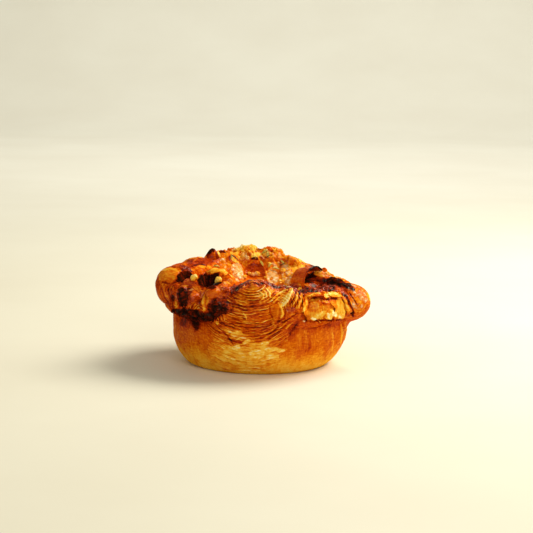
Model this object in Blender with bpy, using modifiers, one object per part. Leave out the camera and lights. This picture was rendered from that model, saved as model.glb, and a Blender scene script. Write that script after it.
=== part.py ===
"""A savoury Danish pastry baked in a round tin: a laminated cup with a folded crown, filled in its hollow.

Metres, +Z up. The front, where the cut end of the roll shows, faces -Y. Azimuths are degrees round the cup's
axis from +X, so the front is at 270. The origin is the middle of the bounding box's base.
"""

import math
import random
from typing import NamedTuple

import bmesh
import bpy
import numpy as np
from mathutils import Euler, Matrix, Vector, noise

# The tin's shape, which the cup keeps: a rounded foot, then a wall that flares a little.
FOOT_RADIUS = 0.0353
LIP_RADIUS = 0.0439
LIP_HEIGHT = 0.0160
WALL_BULGE = 2.2
FLARE_FROM = 0.0100
WALL_FLARE = 0.07
CROWN_FOOT = 0.0270
CROWN_TUCK = 0.40
LEAN_HEIGHT = 0.0140
WALL_LEAN = 0.0009
CUP_TOP = 0.0350
CUP_COLUMNS = 76
CUP_ROWS = 8
FOOT_TUCK = 0.0008
WALL_WAVE = 0.0005
WALL_GRAIN = 130

# The cut face of the roll, which hangs in U shapes under its middle: azimuth, height and half sizes.
FACE_AZIMUTH = 268
FACE_HEIGHT = 0.0400
FACE_HALF_WIDTH = 0.0250
FACE_DROP = 0.0352
FACE_RISE = 0.0030
FACE_LIFT = 0.0003
FACE_RIDGE = 0.0008
FACE_DEPTH = 0.0040
FACE_LAYERS = 6
FACE_SHARE = 0.86
FACE_COLUMNS = 24
FACE_ROWS = 27

# The ring that the crown's lobes swell from.
RING_RADIUS = 0.0360
RING_HEIGHT = 0.0340
RING_RISE = 0.0035
RING_HIGH_AZIMUTH = 120
RING_HALF = (0.0110, 0.0085)
CROWN_COLUMNS = 98
CROWN_ROWS = 23
CROWN_REACH = 0.0280
LOBE_BLEND = 0.0011
CRAG_HEIGHT = 0.0007
CRAG_GRAIN = 160
SWELL_HEIGHT = 0.0011
SWELL_GRAIN = 55

# The filling: its outline seen from above, with the places where the crown comes in over it, and its skin.
FILLING_CENTRE = (0.0010, 0.0065)
FILLING_RADIUS = 0.0290
FILLING_WAVES = ((3, 0.6, 0.0006), (7, 0.0, 0.0005))
FILLING_NOTCHES = ((0, 32, 0.0135), (222, 24, 0.0030))
FILLING_FLOOR = 0.0365
FILLING_RISE = 2.2
FILLING_DEPTH = 0.0080
FILLING_LIFT = 0.0006
FILLING_GRAIN = 170
FILLING_CRAG = 0.0008
FILLING_COLUMNS = 48
FILLING_ROWS = 18
RIM_SMOOTHING = 3

# Blisters of the filling's skin: azimuth and share of the radius from its centre, spread and rise.
BLISTERS = (
    (134, 0.68, 0.0055, 0.0014),
    (76, 0.60, 0.0050, 0.0013),
    (48, 0.72, 0.0052, 0.0015),
    (103, 0.62, 0.0048, -0.0010),
    (160, 0.72, 0.0050, 0.0012),
    (192, 0.60, 0.0060, 0.0010),
    (300, 0.55, 0.0060, 0.0010),
    (250, 0.60, 0.0050, -0.0008),
)

# Herb leaves on the filling: azimuth and share of the radius from its centre, and turn.
LEAVES = (
    (91, 0.77, 30),
    (79, 0.73, -25),
    (84, 0.91, 5),
    (65, 0.86, 40),
    (88, 0.95, -50),
    (128, 0.92, -35),
    (160, 0.86, 60),
    (70, 0.68, 75),
    (240, 0.80, 15),
)
LEAF_LENGTHS = (0.0018, 0.0025)
LEAF_WIDTH = 0.38
LEAF_THICK = 0.0005
LEAF_ARCH = 0.0004
CRUMBS = 11
CRUMB_SIZES = (0.0010, 0.0018)
CRUMB_AZIMUTHS = (30, 150)
CRUMB_SHARES = (0.45, 0.85)
CRUMB_FLATTEN = 0.7

# The curled flap on the right of the hollow: the middle and half of its sweep, from level on its right.
CURL_PLACE = (0.0240, 0.0018, 0.0410)
CURL_TURN = 45
CURL_RADIUS = 0.0074
CURL_REACH = 0.0050
CURL_MIDDLE = 118
CURL_SWEEP = 74
CURL_OPENING = (0.05, -0.10)
CURL_THICK = 0.0012

# Clearances, and the way from the cup's axis to the origin.
PIECE_GAP = 0.0003
PLUG_IN = 0.0010
PLUG_BASE = 0.0200
CUT_TOP = 0.0750
AXIS = Vector((-0.00188, 0.00166, 0.0))
CAST_STEPS = 26
CAST_CARE = 0.75
CAST_LEAST = 0.05
NEAR_ZERO = 1e-6
SHARP_ANGLE = 50
SEED = 7


class Lobe(NamedTuple):
    """One swollen fold of the crown: an ellipsoid that faces out from the cup's axis."""

    azimuth: float
    reach: float  # from the axis to the lobe's middle
    height: float
    outward: float  # half sizes: outward, along the rim and up
    along: float
    tall: float
    lean: float = 0.0  # degrees, turned about its outward line


class RollEnd(NamedTuple):
    """The cut end of a roll of dough, whose layers ring a tip that points out and up."""

    azimuth: float
    reach: float
    height: float
    outward: float
    along: float
    tall: float
    tip: float  # degrees that the layers' middle is turned up
    layers: int


class Spot(NamedTuple):
    """A place on the crown: its azimuth, and its angle round the ring, 0 outward and 90 on top."""

    azimuth: float
    angle: float


CROWN_LOBES = (
    Lobe(196, 0.0432, 0.0398, 0.0114, 0.0125, 0.0104, -14),
    Lobe(201, 0.0390, 0.0334, 0.0110, 0.0160, 0.0090, 8),
    Lobe(171, 0.0388, 0.0406, 0.0125, 0.0120, 0.0086, 6),
    Lobe(221, 0.0400, 0.0362, 0.0115, 0.0110, 0.0115, 10),
    Lobe(243, 0.0402, 0.0352, 0.0108, 0.0090, 0.0108),
    Lobe(267, 0.0395, 0.0372, 0.0110, 0.0125, 0.0098),
    Lobe(289, 0.0400, 0.0352, 0.0115, 0.0085, 0.0102),
    Lobe(309, 0.0398, 0.0335, 0.0115, 0.0115, 0.0092, 8),
    Lobe(331, 0.0398, 0.0332, 0.0112, 0.0105, 0.0090, 10),
    Lobe(350, 0.0448, 0.0326, 0.0120, 0.0118, 0.0092, 14),
    Lobe(16, 0.0405, 0.0325, 0.0118, 0.0135, 0.0090, 12),
    Lobe(43, 0.0398, 0.0338, 0.0126, 0.0125, 0.0100, 16),
    Lobe(66, 0.0388, 0.0380, 0.0122, 0.0100, 0.0112, -8),
    Lobe(82, 0.0385, 0.0415, 0.0112, 0.0085, 0.0112, 10),
    Lobe(99, 0.0388, 0.0420, 0.0118, 0.0110, 0.0114, 4),
    Lobe(121, 0.0388, 0.0410, 0.0118, 0.0110, 0.0112, -10),
    Lobe(147, 0.0392, 0.0396, 0.0122, 0.0110, 0.0104, -16),
)

# How finely a roll end is cut, and the share of its size that its ridges stand up.
ROLL_COLUMNS = 22
ROLL_ROWS = 3
ROLL_RIDGE = 0.055

# The two ends of the roll that show in front, and two like them behind.
ROLL_ENDS = (
    RollEnd(268, 0.0410, 0.0365, 0.0120, 0.0140, 0.0112, 34, 6),
    RollEnd(290, 0.0420, 0.0352, 0.0105, 0.0080, 0.0092, 20, 4),
    RollEnd(56, 0.0405, 0.0355, 0.0112, 0.0115, 0.0100, 25, 4),
    RollEnd(133, 0.0405, 0.0385, 0.0112, 0.0110, 0.0100, 28, 4),
)

# Glazed knobs that boiled up on the left of the front, and one knuckle: place, half width and half height.
KNOBS = (
    (Spot(242, 37), 0.0037, 0.0035),
    (Spot(238, 8), 0.0028, 0.0050),
    (Spot(229, 22), 0.0027, 0.0027),
    (Spot(222, 20), 0.0034, 0.0040),
    (Spot(210, -8), 0.0031, 0.0038),
    (Spot(246, 14), 0.0028, 0.0026),
    (Spot(251, 20), 0.0024, 0.0024),
    (Spot(249, 44), 0.0030, 0.0026),
    (Spot(231, -6), 0.0027, 0.0030),
    (Spot(218, -10), 0.0024, 0.0032),
    (Spot(212, 26), 0.0032, 0.0030),
    (Spot(281, 12), 0.0033, 0.0040),
)
KNOB_FLATTEN = 0.9
BALL_BUMP = 0.12
BALL_GRAIN = 1.8
BALL_SHIFT = 800

# Folds and crusts that stand apart from the crown's lobes: middle, half sizes and turn about X, Y and Z.
FOLDS = (
    ((-0.0205, -0.0215, 0.0440), (0.0092, 0.0052, 0.0058), (0, 18, -34)),
    ((-0.0335, 0.0120, 0.0445), (0.0092, 0.0066, 0.0040), (12, -16, 52)),
    ((-0.0243, 0.0270, 0.0510), (0.0030, 0.0022, 0.0036), (0, 14, 30)),
    ((0.0060, 0.0365, 0.0516), (0.0060, 0.0032, 0.0024), (0, 6, 8)),
    ((-0.0080, 0.0370, 0.0520), (0.0066, 0.0034, 0.0023), (0, -4, -10)),
    ((0.0230, 0.0030, 0.0375), (0.0090, 0.0110, 0.0060), (0, 0, 0)),
    ((0.0330, 0.0040, 0.0415), (0.0075, 0.0062, 0.0044), (0, 14, 0)),
    ((0.0412, -0.0110, 0.0245), (0.0044, 0.0100, 0.0062), (0, 0, -15)),
    ((0.0208, 0.0050, 0.0402), (0.0058, 0.0058, 0.0064), (0, 0, 0)),
    ((0.0405, -0.0100, 0.0405), (0.0085, 0.0042, 0.0030), (0, 22, -40)),
    ((0.0175, 0.0290, 0.0465), (0.0048, 0.0040, 0.0028), (0, 30, 40)),
    ((0.0330, 0.0170, 0.0440), (0.0021, 0.0019, 0.0024), (0, 0, 0)),
    ((-0.0160, 0.0400, 0.0520), (0.0022, 0.0019, 0.0022), (0, 0, 0)),
    ((0.0370, -0.0231, 0.0175), (0.0017, 0.0023, 0.0056), (0, 4, -32)),
)
FINE_FOLD = 0.0090  # a fold this long is cut more finely

# Hollows that open to the front between the folds, told in the same way.
PITS = (
    ((-0.0250, -0.0290, 0.0450), (0.0045, 0.0070, 0.0048), (-16, 0, 0)),
    ((-0.0378, -0.0205, 0.0470), (0.0027, 0.0055, 0.0036), (-20, 0, -30)),
)

# Nuts that stand in the hollows: middle and half sizes.
NUTS = (
    ((-0.0340, -0.0308, 0.0475), (0.0020, 0.0019, 0.0024)),
    ((-0.0209, -0.0302, 0.0468), (0.0021, 0.0019, 0.0025)),
)

# Torn flakes on the right of the front: place, half width, half height and turn.
FLAKES = (
    (Spot(304, -18), 0.0052, 0.0040, 8),
    (Spot(315, -22), 0.0056, 0.0042, -10),
    (Spot(312, 6), 0.0060, 0.0038, 14),
    (Spot(323, -4), 0.0048, 0.0044, -22),
    (Spot(300, 14), 0.0042, 0.0036, 20),
)
FLAKE_THICK = 0.0011
FLAKE_SINK = -0.4
FLAKE_LIFT = 0.0006
FLAKE_BEND = 0.0022
FLAKE_PEEL = 0.0012
FLAKE_TEAR = 0.35


def turn_of(azimuth, tip=0.0, lean=0.0):
    """The turn whose columns point outward, along the rim and up at that azimuth."""
    return (
        Matrix.Rotation(math.radians(azimuth), 3, "Z")
        @ Matrix.Rotation(math.radians(-tip), 3, "Y")
        @ Matrix.Rotation(math.radians(lean), 3, "X")
    )


def middle_of(shape):
    """The middle of a lobe or a roll end."""
    return turn_of(shape.azimuth) @ Vector((shape.reach, 0, 0)) + Vector((0, 0, shape.height))


def azimuth_of(point):
    """The azimuth of a point, from 0 to 360 degrees."""
    return math.degrees(math.atan2(point.y, point.x)) % 360


def polar_of(point):
    """The angle between a point of a unit sphere and +Z."""
    return math.acos(max(-1.0, min(1.0, point.z)))


def ring_height(azimuth):
    """The height of the crown's ring, which is highest at the back left."""
    return RING_HEIGHT + RING_RISE * np.cos(np.radians(azimuth - RING_HIGH_AZIMUTH))


def lobe_distance(points, lobe):
    """The distance of each point from a lobe's surface, below zero inside."""
    turn = np.array(turn_of(lobe.azimuth, lean=lobe.lean))
    half = np.array((lobe.outward, lobe.along, lobe.tall))
    local = (points - np.array(middle_of(lobe))) @ turn
    near = np.linalg.norm(local / half, axis=-1)
    slope = np.linalg.norm(local / half**2, axis=-1)
    return near * (near - 1) / np.maximum(slope, NEAR_ZERO)


def ring_distance(points):
    """The distance of each point from the plain ring under the lobes."""
    azimuth = np.degrees(np.arctan2(points[..., 1], points[..., 0]))
    out = (np.hypot(points[..., 0], points[..., 1]) - RING_RADIUS) / RING_HALF[0]
    up = (points[..., 2] - ring_height(azimuth)) / RING_HALF[1]
    return (np.hypot(out, up) - 1) * min(RING_HALF)


def crown_distance(points):
    """The distance from the crown: its ring and lobes, softly joined."""
    parts = [ring_distance(points)] + [lobe_distance(points, lobe) for lobe in CROWN_LOBES]
    nearest = np.min(parts, axis=0)
    return nearest - LOBE_BLEND * np.log(sum(np.exp((nearest - part) / LOBE_BLEND) for part in parts))


def cast(origin, direction, reach):
    """How far from origin, along direction, each ray meets the crown's outermost surface."""
    travel = np.full(len(origin), reach)
    for _ in range(CAST_STEPS):
        gap = crown_distance(origin + direction * travel[:, None])
        travel -= CAST_CARE * np.maximum(gap, 0)
    return np.maximum(travel, reach * CAST_LEAST)


def crown_points(azimuth, angle):
    """The crown's surface at azimuths and at angles round the ring, in degrees, and the way out at each."""
    azimuth = np.atleast_1d(np.asarray(azimuth, float))
    around, tilt = np.radians(azimuth), np.radians(np.atleast_1d(np.asarray(angle, float)))
    outward = np.stack([np.cos(around), np.sin(around), np.zeros_like(around)], axis=1)
    up = np.array((0.0, 0.0, 1.0))
    origin = outward * RING_RADIUS + up * ring_height(azimuth)[:, None]
    direction = outward * np.cos(tilt)[:, None] + up * np.sin(tilt)[:, None]
    return origin + direction * cast(origin, direction, CROWN_REACH)[:, None], direction


def place_of(spot):
    """The point of a spot on the crown, and the way out there."""
    points, directions = crown_points(spot.azimuth, spot.angle)
    return Vector(points[0]), Vector(directions[0])


def wall_radius(azimuth, height):
    """The cup's radius: the tin's flared wall over its rounded foot, drawn in again under the crown."""
    share = max(0.0, 1 - height / LIP_HEIGHT)
    radius = LIP_RADIUS - (LIP_RADIUS - FOOT_RADIUS) * share**WALL_BULGE
    radius += WALL_FLARE * max(0.0, height - FLARE_FROM) - CROWN_TUCK * max(0.0, height - CROWN_FOOT)
    return radius - WALL_LEAN * (1 - height / LEAN_HEIGHT) * math.cos(math.radians(azimuth))


def new_object(name, shape, collection):
    """A mesh object made from a bmesh, in a collection."""
    mesh = bpy.data.meshes.new(name)
    shape.to_mesh(mesh)
    shape.free()
    made = bpy.data.objects.new(name, mesh)
    collection.objects.link(made)
    return made


def new_collection(name):
    """A collection in the scene."""
    made = bpy.data.collections.new(name)
    bpy.context.scene.collection.children.link(made)
    return made


def move_to(made, collection):
    """Takes an object out of the collections that hold it and puts it in another."""
    for holder in list(made.users_collection):
        holder.objects.unlink(made)
    collection.objects.link(made)


def apply_modifiers(made):
    """Keeps an object's evaluated mesh as its own and drops its modifiers."""
    graph = bpy.context.evaluated_depsgraph_get()
    mesh = bpy.data.meshes.new_from_object(made.evaluated_get(graph))
    made.modifiers.clear()
    made.data = mesh


def thicken(made, thickness, offset):
    """Gives a sheet its thickness."""
    sheet = made.modifiers.new("thick", "SOLIDIFY")
    sheet.thickness = thickness
    sheet.offset = offset
    apply_modifiers(made)


def make_cup(collection):
    """The cup: a cylinder whose wall takes the tin's shape."""
    shape = bmesh.new()
    bmesh.ops.create_cone(
        shape, cap_ends=True, segments=CUP_COLUMNS, radius1=LIP_RADIUS, radius2=LIP_RADIUS, depth=CUP_TOP
    )
    bmesh.ops.translate(shape, verts=shape.verts, vec=(0, 0, CUP_TOP / 2))
    upright = [e for e in shape.edges if abs(e.verts[0].co.z - e.verts[1].co.z) > CUP_TOP / 2]
    bmesh.ops.subdivide_edges(shape, edges=upright, cuts=CUP_ROWS, use_grid_fill=True)
    for vert in shape.verts:
        azimuth, height = azimuth_of(vert.co), vert.co.z
        standing = height > NEAR_ZERO
        wave = WALL_WAVE * noise.noise(vert.co * WALL_GRAIN) if standing else -FOOT_TUCK
        radius = wall_radius(azimuth, height) + wave
        vert.co = turn_of(azimuth) @ Vector((radius, 0, 0)) + Vector((0, 0, height))
    return new_object("cup", shape, collection)


def make_cut_face(collection):
    """The cut face below the front of the crown: a sphere laid along the wall, ringed by its torn layers."""
    shape = bmesh.new()
    bmesh.ops.create_uvsphere(shape, u_segments=FACE_COLUMNS, v_segments=FACE_ROWS, radius=1)
    for vert in shape.verts:
        turn = math.atan2(vert.co.y, vert.co.x)
        share = polar_of(vert.co) / math.pi / FACE_SHARE
        over = min(share, 1.0)
        tall = FACE_DROP if math.sin(turn) < 0 else FACE_RISE
        sideways, height = FACE_HALF_WIDTH * over * math.cos(turn), FACE_HEIGHT + tall * over * math.sin(turn)
        azimuth = FACE_AZIMUTH + math.degrees(sideways / LIP_RADIUS)
        ridge = FACE_RIDGE * (1 - math.cos(2 * math.pi * FACE_LAYERS * over)) / 2
        radius = wall_radius(azimuth, height) + FACE_LIFT * (1 - over**8) + ridge * (1 - over**4)
        radius -= FACE_DEPTH * max(0.0, share - 1) / (1 / FACE_SHARE - 1)
        vert.co = turn_of(azimuth) @ Vector((radius, 0, 0)) + Vector((0, 0, height))
    return new_object("cut_face", shape, collection)


def make_crown(collection):
    """The crown: a torus whose points move out to the surface of the lobes."""
    bpy.ops.mesh.primitive_torus_add(
        major_segments=CROWN_COLUMNS,
        minor_segments=CROWN_ROWS,
        major_radius=RING_RADIUS,
        minor_radius=RING_HALF[1],
    )
    crown = bpy.context.active_object
    crown.name = "crown"
    verts = crown.data.vertices
    azimuth = np.array([azimuth_of(v.co) for v in verts])
    outs = [math.hypot(v.co.x, v.co.y) - RING_RADIUS for v in verts]
    angle = np.array([math.degrees(math.atan2(v.co.z, out)) for v, out in zip(verts, outs)])
    points, directions = crown_points(azimuth, angle)
    for vert, point, direction in zip(verts, points, directions):
        crag = CRAG_HEIGHT * noise.fractal(Vector(point) * CRAG_GRAIN, 0.8, 2.0, 3)
        swell = SWELL_HEIGHT * noise.noise(Vector(point) * SWELL_GRAIN)
        vert.co = Vector(point) + Vector(direction) * (crag + swell)
    move_to(crown, collection)
    return crown


def make_roll_end(roll, collection):
    """A roll end: a sphere whose rings, round its tip, step in and out as the cut layers do."""
    shape = bmesh.new()
    bmesh.ops.create_uvsphere(shape, u_segments=ROLL_COLUMNS, v_segments=roll.layers * ROLL_ROWS, radius=1)
    half = Vector((roll.outward, roll.along, roll.tall))
    tip = Matrix.Rotation(math.radians(90 - roll.tip), 3, "Y")
    for vert in shape.verts:
        step = 1 + ROLL_RIDGE * math.cos(2 * polar_of(vert.co) * roll.layers)
        local = Vector(a * b for a, b in zip(tip @ vert.co * step, half))
        vert.co = turn_of(roll.azimuth) @ local + middle_of(roll)
    return new_object("roll_end", shape, collection)


def make_ball(middle, half, turn, collection, fine=2):
    """An uneven ellipsoid with a middle, half sizes and a turn."""
    shape = bmesh.new()
    bmesh.ops.create_icosphere(shape, subdivisions=fine, radius=1)
    for vert in shape.verts:
        swell = 1 + BALL_BUMP * noise.noise(vert.co * BALL_GRAIN + Vector(middle) * BALL_SHIFT)
        vert.co = turn @ (Vector(a * b for a, b in zip(vert.co, half)) * swell) + Vector(middle)
    return new_object("ball", shape, collection)


def make_folds(folds, collection):
    """Ellipsoids told by their middle, half sizes and turn in degrees about X, Y and Z."""
    for middle, half, turn in folds:
        fine = 3 if max(half) > FINE_FOLD else 2
        make_ball(middle, half, Euler([math.radians(angle) for angle in turn]).to_matrix(), collection, fine)


def make_knob(spot, across, tall, collection):
    """A glazed knob that bulges out of the crown at a spot."""
    place, facing = place_of(spot)
    turn = facing.to_track_quat("X", "Z").to_matrix()
    make_ball(place, (across * KNOB_FLATTEN, across, tall), turn, collection)


def make_curl(collection):
    """The curled flap on the right: a bent sheet that opens to the front."""
    shape = bmesh.new()
    bmesh.ops.create_grid(shape, x_segments=14, y_segments=6, size=1)
    for vert in shape.verts:
        sweep = math.radians(CURL_MIDDLE - CURL_SWEEP * vert.co.x)
        radius = CURL_RADIUS * (1 + CURL_OPENING[0] * vert.co.x) * (1 + CURL_OPENING[1] * vert.co.y)
        vert.co = Vector((radius * math.cos(sweep), CURL_REACH * vert.co.y, radius * math.sin(sweep)))
    curl = new_object("curl", shape, collection)
    curl.data.transform(Matrix.Translation(CURL_PLACE) @ Matrix.Rotation(math.radians(CURL_TURN), 4, "Z"))
    thicken(curl, CURL_THICK, 0)


def make_flake(spot, wide, tall, turn, collection):
    """A torn flake of crust: a thin bent plate that lies on the crown with its ragged lower edge free."""
    shape = bmesh.new()
    bmesh.ops.create_grid(shape, x_segments=7, y_segments=4, size=1)
    rng = random.Random(round(spot.azimuth))
    lowest = min(vert.co.y for vert in shape.verts)
    for vert in shape.verts:
        torn = FLAKE_TEAR * rng.random() if vert.co.y < lowest + NEAR_ZERO else 0.0
        bend = FLAKE_PEEL * max(0.0, -vert.co.y) - FLAKE_BEND * vert.co.x**2
        vert.co = Vector((vert.co.x * wide, (vert.co.y + torn) * tall, bend))
    flake = new_object("flake", shape, collection)
    place, facing = place_of(spot)
    facing_turn = facing.to_track_quat("Z", "Y").to_matrix().to_4x4()
    own_turn = Matrix.Rotation(math.radians(turn), 4, "Z")
    flake.data.transform(Matrix.Translation(place + facing * FLAKE_LIFT) @ facing_turn @ own_turn)
    thicken(flake, FLAKE_THICK, FLAKE_SINK)


def make_leaf(place, facing, length, turn, collection):
    """A herb leaf: a flattened spindle that is arched a little along its length."""
    shape = bmesh.new()
    bmesh.ops.create_uvsphere(shape, u_segments=6, v_segments=5, radius=1)
    matrix = facing.to_track_quat("Z", "X").to_matrix() @ Matrix.Rotation(math.radians(turn), 3, "Z")
    for vert in shape.verts:
        along, side, lift = vert.co.z, vert.co.x, vert.co.y
        arch = LEAF_ARCH * (1 - along**2)
        local = Vector((along * length, side * length * LEAF_WIDTH, lift * LEAF_THICK + arch))
        vert.co = matrix @ local + place
    return new_object("leaf", shape, collection)


def filling_outline(azimuth):
    """The filling's radius about its own centre, with waves and with notches where the crown comes in."""
    radius = FILLING_RADIUS
    for waves, phase, height in FILLING_WAVES:
        radius += height * math.sin(waves * math.radians(azimuth) + phase)
    for middle, spread, depth in FILLING_NOTCHES:
        off = (azimuth - middle + 180) % 360 - 180
        radius -= depth * math.exp(-((off / spread) ** 2))
    return radius


def flat_point(azimuth, radius):
    """A point about the filling's centre, in plan."""
    return Vector((*FILLING_CENTRE, 0)) + turn_of(azimuth) @ Vector((radius, 0, 0))


def crown_top(point):
    """The height of the crown straight above a point of the plan."""
    origin = np.array([[point.x, point.y, CUP_TOP]])
    return CUP_TOP + float(cast(origin, np.array([[0.0, 0.0, 1.0]]), CROWN_REACH)[0])


def filling_rim():
    """The height of the filling's edge, every few degrees, smoothed."""
    steps = [360 * column / FILLING_COLUMNS for column in range(FILLING_COLUMNS)]
    tops = [crown_top(flat_point(azimuth, filling_outline(azimuth))) for azimuth in steps]
    rim = np.array(tops) + FILLING_LIFT
    for _ in range(RIM_SMOOTHING):
        rim = (np.roll(rim, 1) + rim + np.roll(rim, -1)) / 3
    return rim


def filling_top(share, azimuth, rim):
    """The height of the filling's skin at a share of the way out from its centre."""
    column = azimuth % 360 / 360 * FILLING_COLUMNS
    before = int(column) % FILLING_COLUMNS
    edge = rim[before] + (rim[(before + 1) % FILLING_COLUMNS] - rim[before]) * (column - int(column))
    height = FILLING_FLOOR + (edge - FILLING_FLOOR) * share**FILLING_RISE
    here = flat_point(azimuth, FILLING_RADIUS * share)
    for middle, reach, across, rise in BLISTERS:
        off = (here - flat_point(middle, FILLING_RADIUS * reach)).length
        height += rise * math.exp(-((off / across) ** 2))
    return height


def filling_point(azimuth, share, rim):
    """A point of the filling's skin."""
    place = flat_point(azimuth, filling_outline(azimuth) * share)
    place.z = filling_top(share, azimuth, rim)
    return place


def filling_facing(azimuth, share, rim):
    """The way that the filling's skin faces at a point."""
    here = filling_point(azimuth, share, rim)
    outward = filling_point(azimuth, share + 0.05, rim) - here
    along = filling_point(azimuth + 4, share, rim) - here
    return outward.cross(along).normalized()


def make_filling_shape(name, rim, collection, grow=0.0, top=None, bottom=None, crag=0.0):
    """The filling's lens, from a sphere: its skin follows the crown's rim, and its belly lies in the cup.

    With top or bottom, that side is flat at the height given, which makes the cutter and the plug."""
    shape = bmesh.new()
    bmesh.ops.create_uvsphere(shape, u_segments=FILLING_COLUMNS, v_segments=FILLING_ROWS, radius=1)
    for vert in shape.verts:
        azimuth, side = azimuth_of(vert.co), vert.co.z
        share = min(polar_of(vert.co), math.pi - polar_of(vert.co)) / (math.pi / 2)
        skin = filling_top(share, azimuth, rim)
        place = flat_point(azimuth, (filling_outline(azimuth) + grow) * share)
        if side > NEAR_ZERO:
            rough = crag * noise.fractal(place * FILLING_GRAIN, 0.8, 2.0, 3) * (1 - share**6)
            place.z = top or skin + rough
        elif side < -NEAR_ZERO:
            place.z = bottom or skin - FILLING_DEPTH * math.sqrt(max(0.0, 1 - share**2)) - grow
        else:
            place.z = skin - grow
        vert.co = place
    return new_object(name, shape, collection)


def fuse(body, pieces):
    """Joins every object of the pieces' collection to body, and removes them."""
    union = body.modifiers.new("fuse", "BOOLEAN")
    union.operation = "UNION"
    union.operand_type = "COLLECTION"
    union.collection = pieces
    union.solver = "EXACT"
    union.use_self = True
    apply_modifiers(body)
    for piece in list(pieces.objects):
        bpy.data.objects.remove(piece)
    bpy.data.collections.remove(pieces)


def cut(body, cutters):
    """Takes the shape of every object in the cutters' collection out of body."""
    carve = body.modifiers.new("carve", "BOOLEAN")
    carve.operation = "DIFFERENCE"
    carve.operand_type = "COLLECTION"
    carve.collection = cutters
    carve.solver = "EXACT"
    apply_modifiers(body)


def island_of(start):
    """The vertices joined to one of them by edges."""
    island, edge = {start}, [start]
    while edge:
        vert = edge.pop()
        for link in vert.link_edges:
            other = link.other_vert(vert)
            if other not in island:
                island.add(other)
                edge.append(other)
    return island


def keep_largest(made):
    """Drops the scraps that a Boolean leaves beside the main body, and makes every face a triangle."""
    shape = bmesh.new()
    shape.from_mesh(made.data)
    bmesh.ops.remove_doubles(shape, verts=shape.verts, dist=NEAR_ZERO)
    unseen, islands = set(shape.verts), []
    while unseen:
        islands.append(island_of(next(iter(unseen))))
        unseen -= islands[-1]
    islands.sort(key=len)
    for island in islands[:-1]:
        bmesh.ops.delete(shape, geom=list(island), context="VERTS")
    bmesh.ops.triangulate(shape, faces=shape.faces)
    shape.to_mesh(made.data)
    shape.free()


def finish(made, colour, roughness):
    """Gives a piece its plain material, shades it smooth and puts it in the part's own frame."""
    surface = bpy.data.materials.new(made.name)
    surface.use_nodes = True
    shader = surface.node_tree.nodes["Principled BSDF"]
    shader.inputs["Base Color"].default_value = (*colour, 1)
    shader.inputs["Roughness"].default_value = roughness
    made.data.materials.clear()
    made.data.materials.append(surface)
    made.data.transform(Matrix.Translation(AXIS))
    made.data.shade_smooth()
    made.data.set_sharp_from_angle(angle=math.radians(SHARP_ANGLE))


def make_dough(parts, cutters, rim):
    """The dough: the cup, its crown and all that is baked onto it, less the filling's bed and the pits."""
    pieces = new_collection("dough_pieces")
    make_crown(pieces)
    make_cut_face(pieces)
    make_filling_shape("plug", rim, pieces, grow=-PLUG_IN, bottom=PLUG_BASE)
    for roll in ROLL_ENDS:
        make_roll_end(roll, pieces)
    for spot, across, tall in KNOBS:
        make_knob(spot, across, tall, pieces)
    make_folds(FOLDS, pieces)
    make_curl(pieces)
    for spot, wide, tall, turn in FLAKES:
        make_flake(spot, wide, tall, turn, pieces)
    dough = make_cup(parts)
    dough.name = "dough"
    fuse(dough, pieces)
    make_filling_shape("filling_bed", rim, cutters, grow=PIECE_GAP, top=CUT_TOP)
    make_folds(PITS, cutters)
    cut(dough, cutters)
    nuts = new_collection("nuts")
    for middle, half in NUTS:
        make_ball(middle, half, Matrix.Identity(3), nuts)
    fuse(dough, nuts)
    keep_largest(dough)
    return dough


def make_filling(parts, rim):
    """The filling, with the crumbs and herb leaves that lie on it."""
    rng = random.Random(SEED)
    pieces = new_collection("filling_pieces")
    for azimuth, share, turn in LEAVES:
        facing = filling_facing(azimuth, share, rim)
        place = filling_point(azimuth, share, rim) + facing * LEAF_ARCH
        make_leaf(place, facing, rng.uniform(*LEAF_LENGTHS), turn, pieces)
    for _ in range(CRUMBS):
        azimuth, share = rng.uniform(*CRUMB_AZIMUTHS), rng.uniform(*CRUMB_SHARES)
        size = rng.uniform(*CRUMB_SIZES)
        place = filling_point(azimuth, share, rim)
        make_ball(place, (size, size, size * CRUMB_FLATTEN), Matrix.Identity(3), pieces, fine=1)
    filling = make_filling_shape("filling", rim, parts, crag=FILLING_CRAG)
    fuse(filling, pieces)
    keep_largest(filling)
    return filling


def main():
    """Clears the scene and makes the pastry's two pieces."""
    for made in list(bpy.data.objects):
        bpy.data.objects.remove(made)
    parts, cutters = new_collection("danish_pastry"), new_collection("cutters")
    rim = filling_rim()
    finish(make_dough(parts, cutters, rim), (0.72, 0.33, 0.05), 0.45)
    finish(make_filling(parts, rim), (0.80, 0.50, 0.14), 0.35)
    for cutter in cutters.objects:
        cutter.hide_render = True
        cutter.display_type = "WIRE"


main()
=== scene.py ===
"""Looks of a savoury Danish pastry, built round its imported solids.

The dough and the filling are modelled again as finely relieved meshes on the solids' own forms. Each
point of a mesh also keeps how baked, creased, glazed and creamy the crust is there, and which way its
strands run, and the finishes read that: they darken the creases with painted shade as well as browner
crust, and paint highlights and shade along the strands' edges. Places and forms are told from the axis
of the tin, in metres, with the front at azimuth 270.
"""

import itertools
import logging
import math
import random
from dataclasses import dataclass, field, fields
from enum import Enum

import bmesh
import bpy
import numpy as np
from mathutils import Euler, Matrix, Vector


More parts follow.
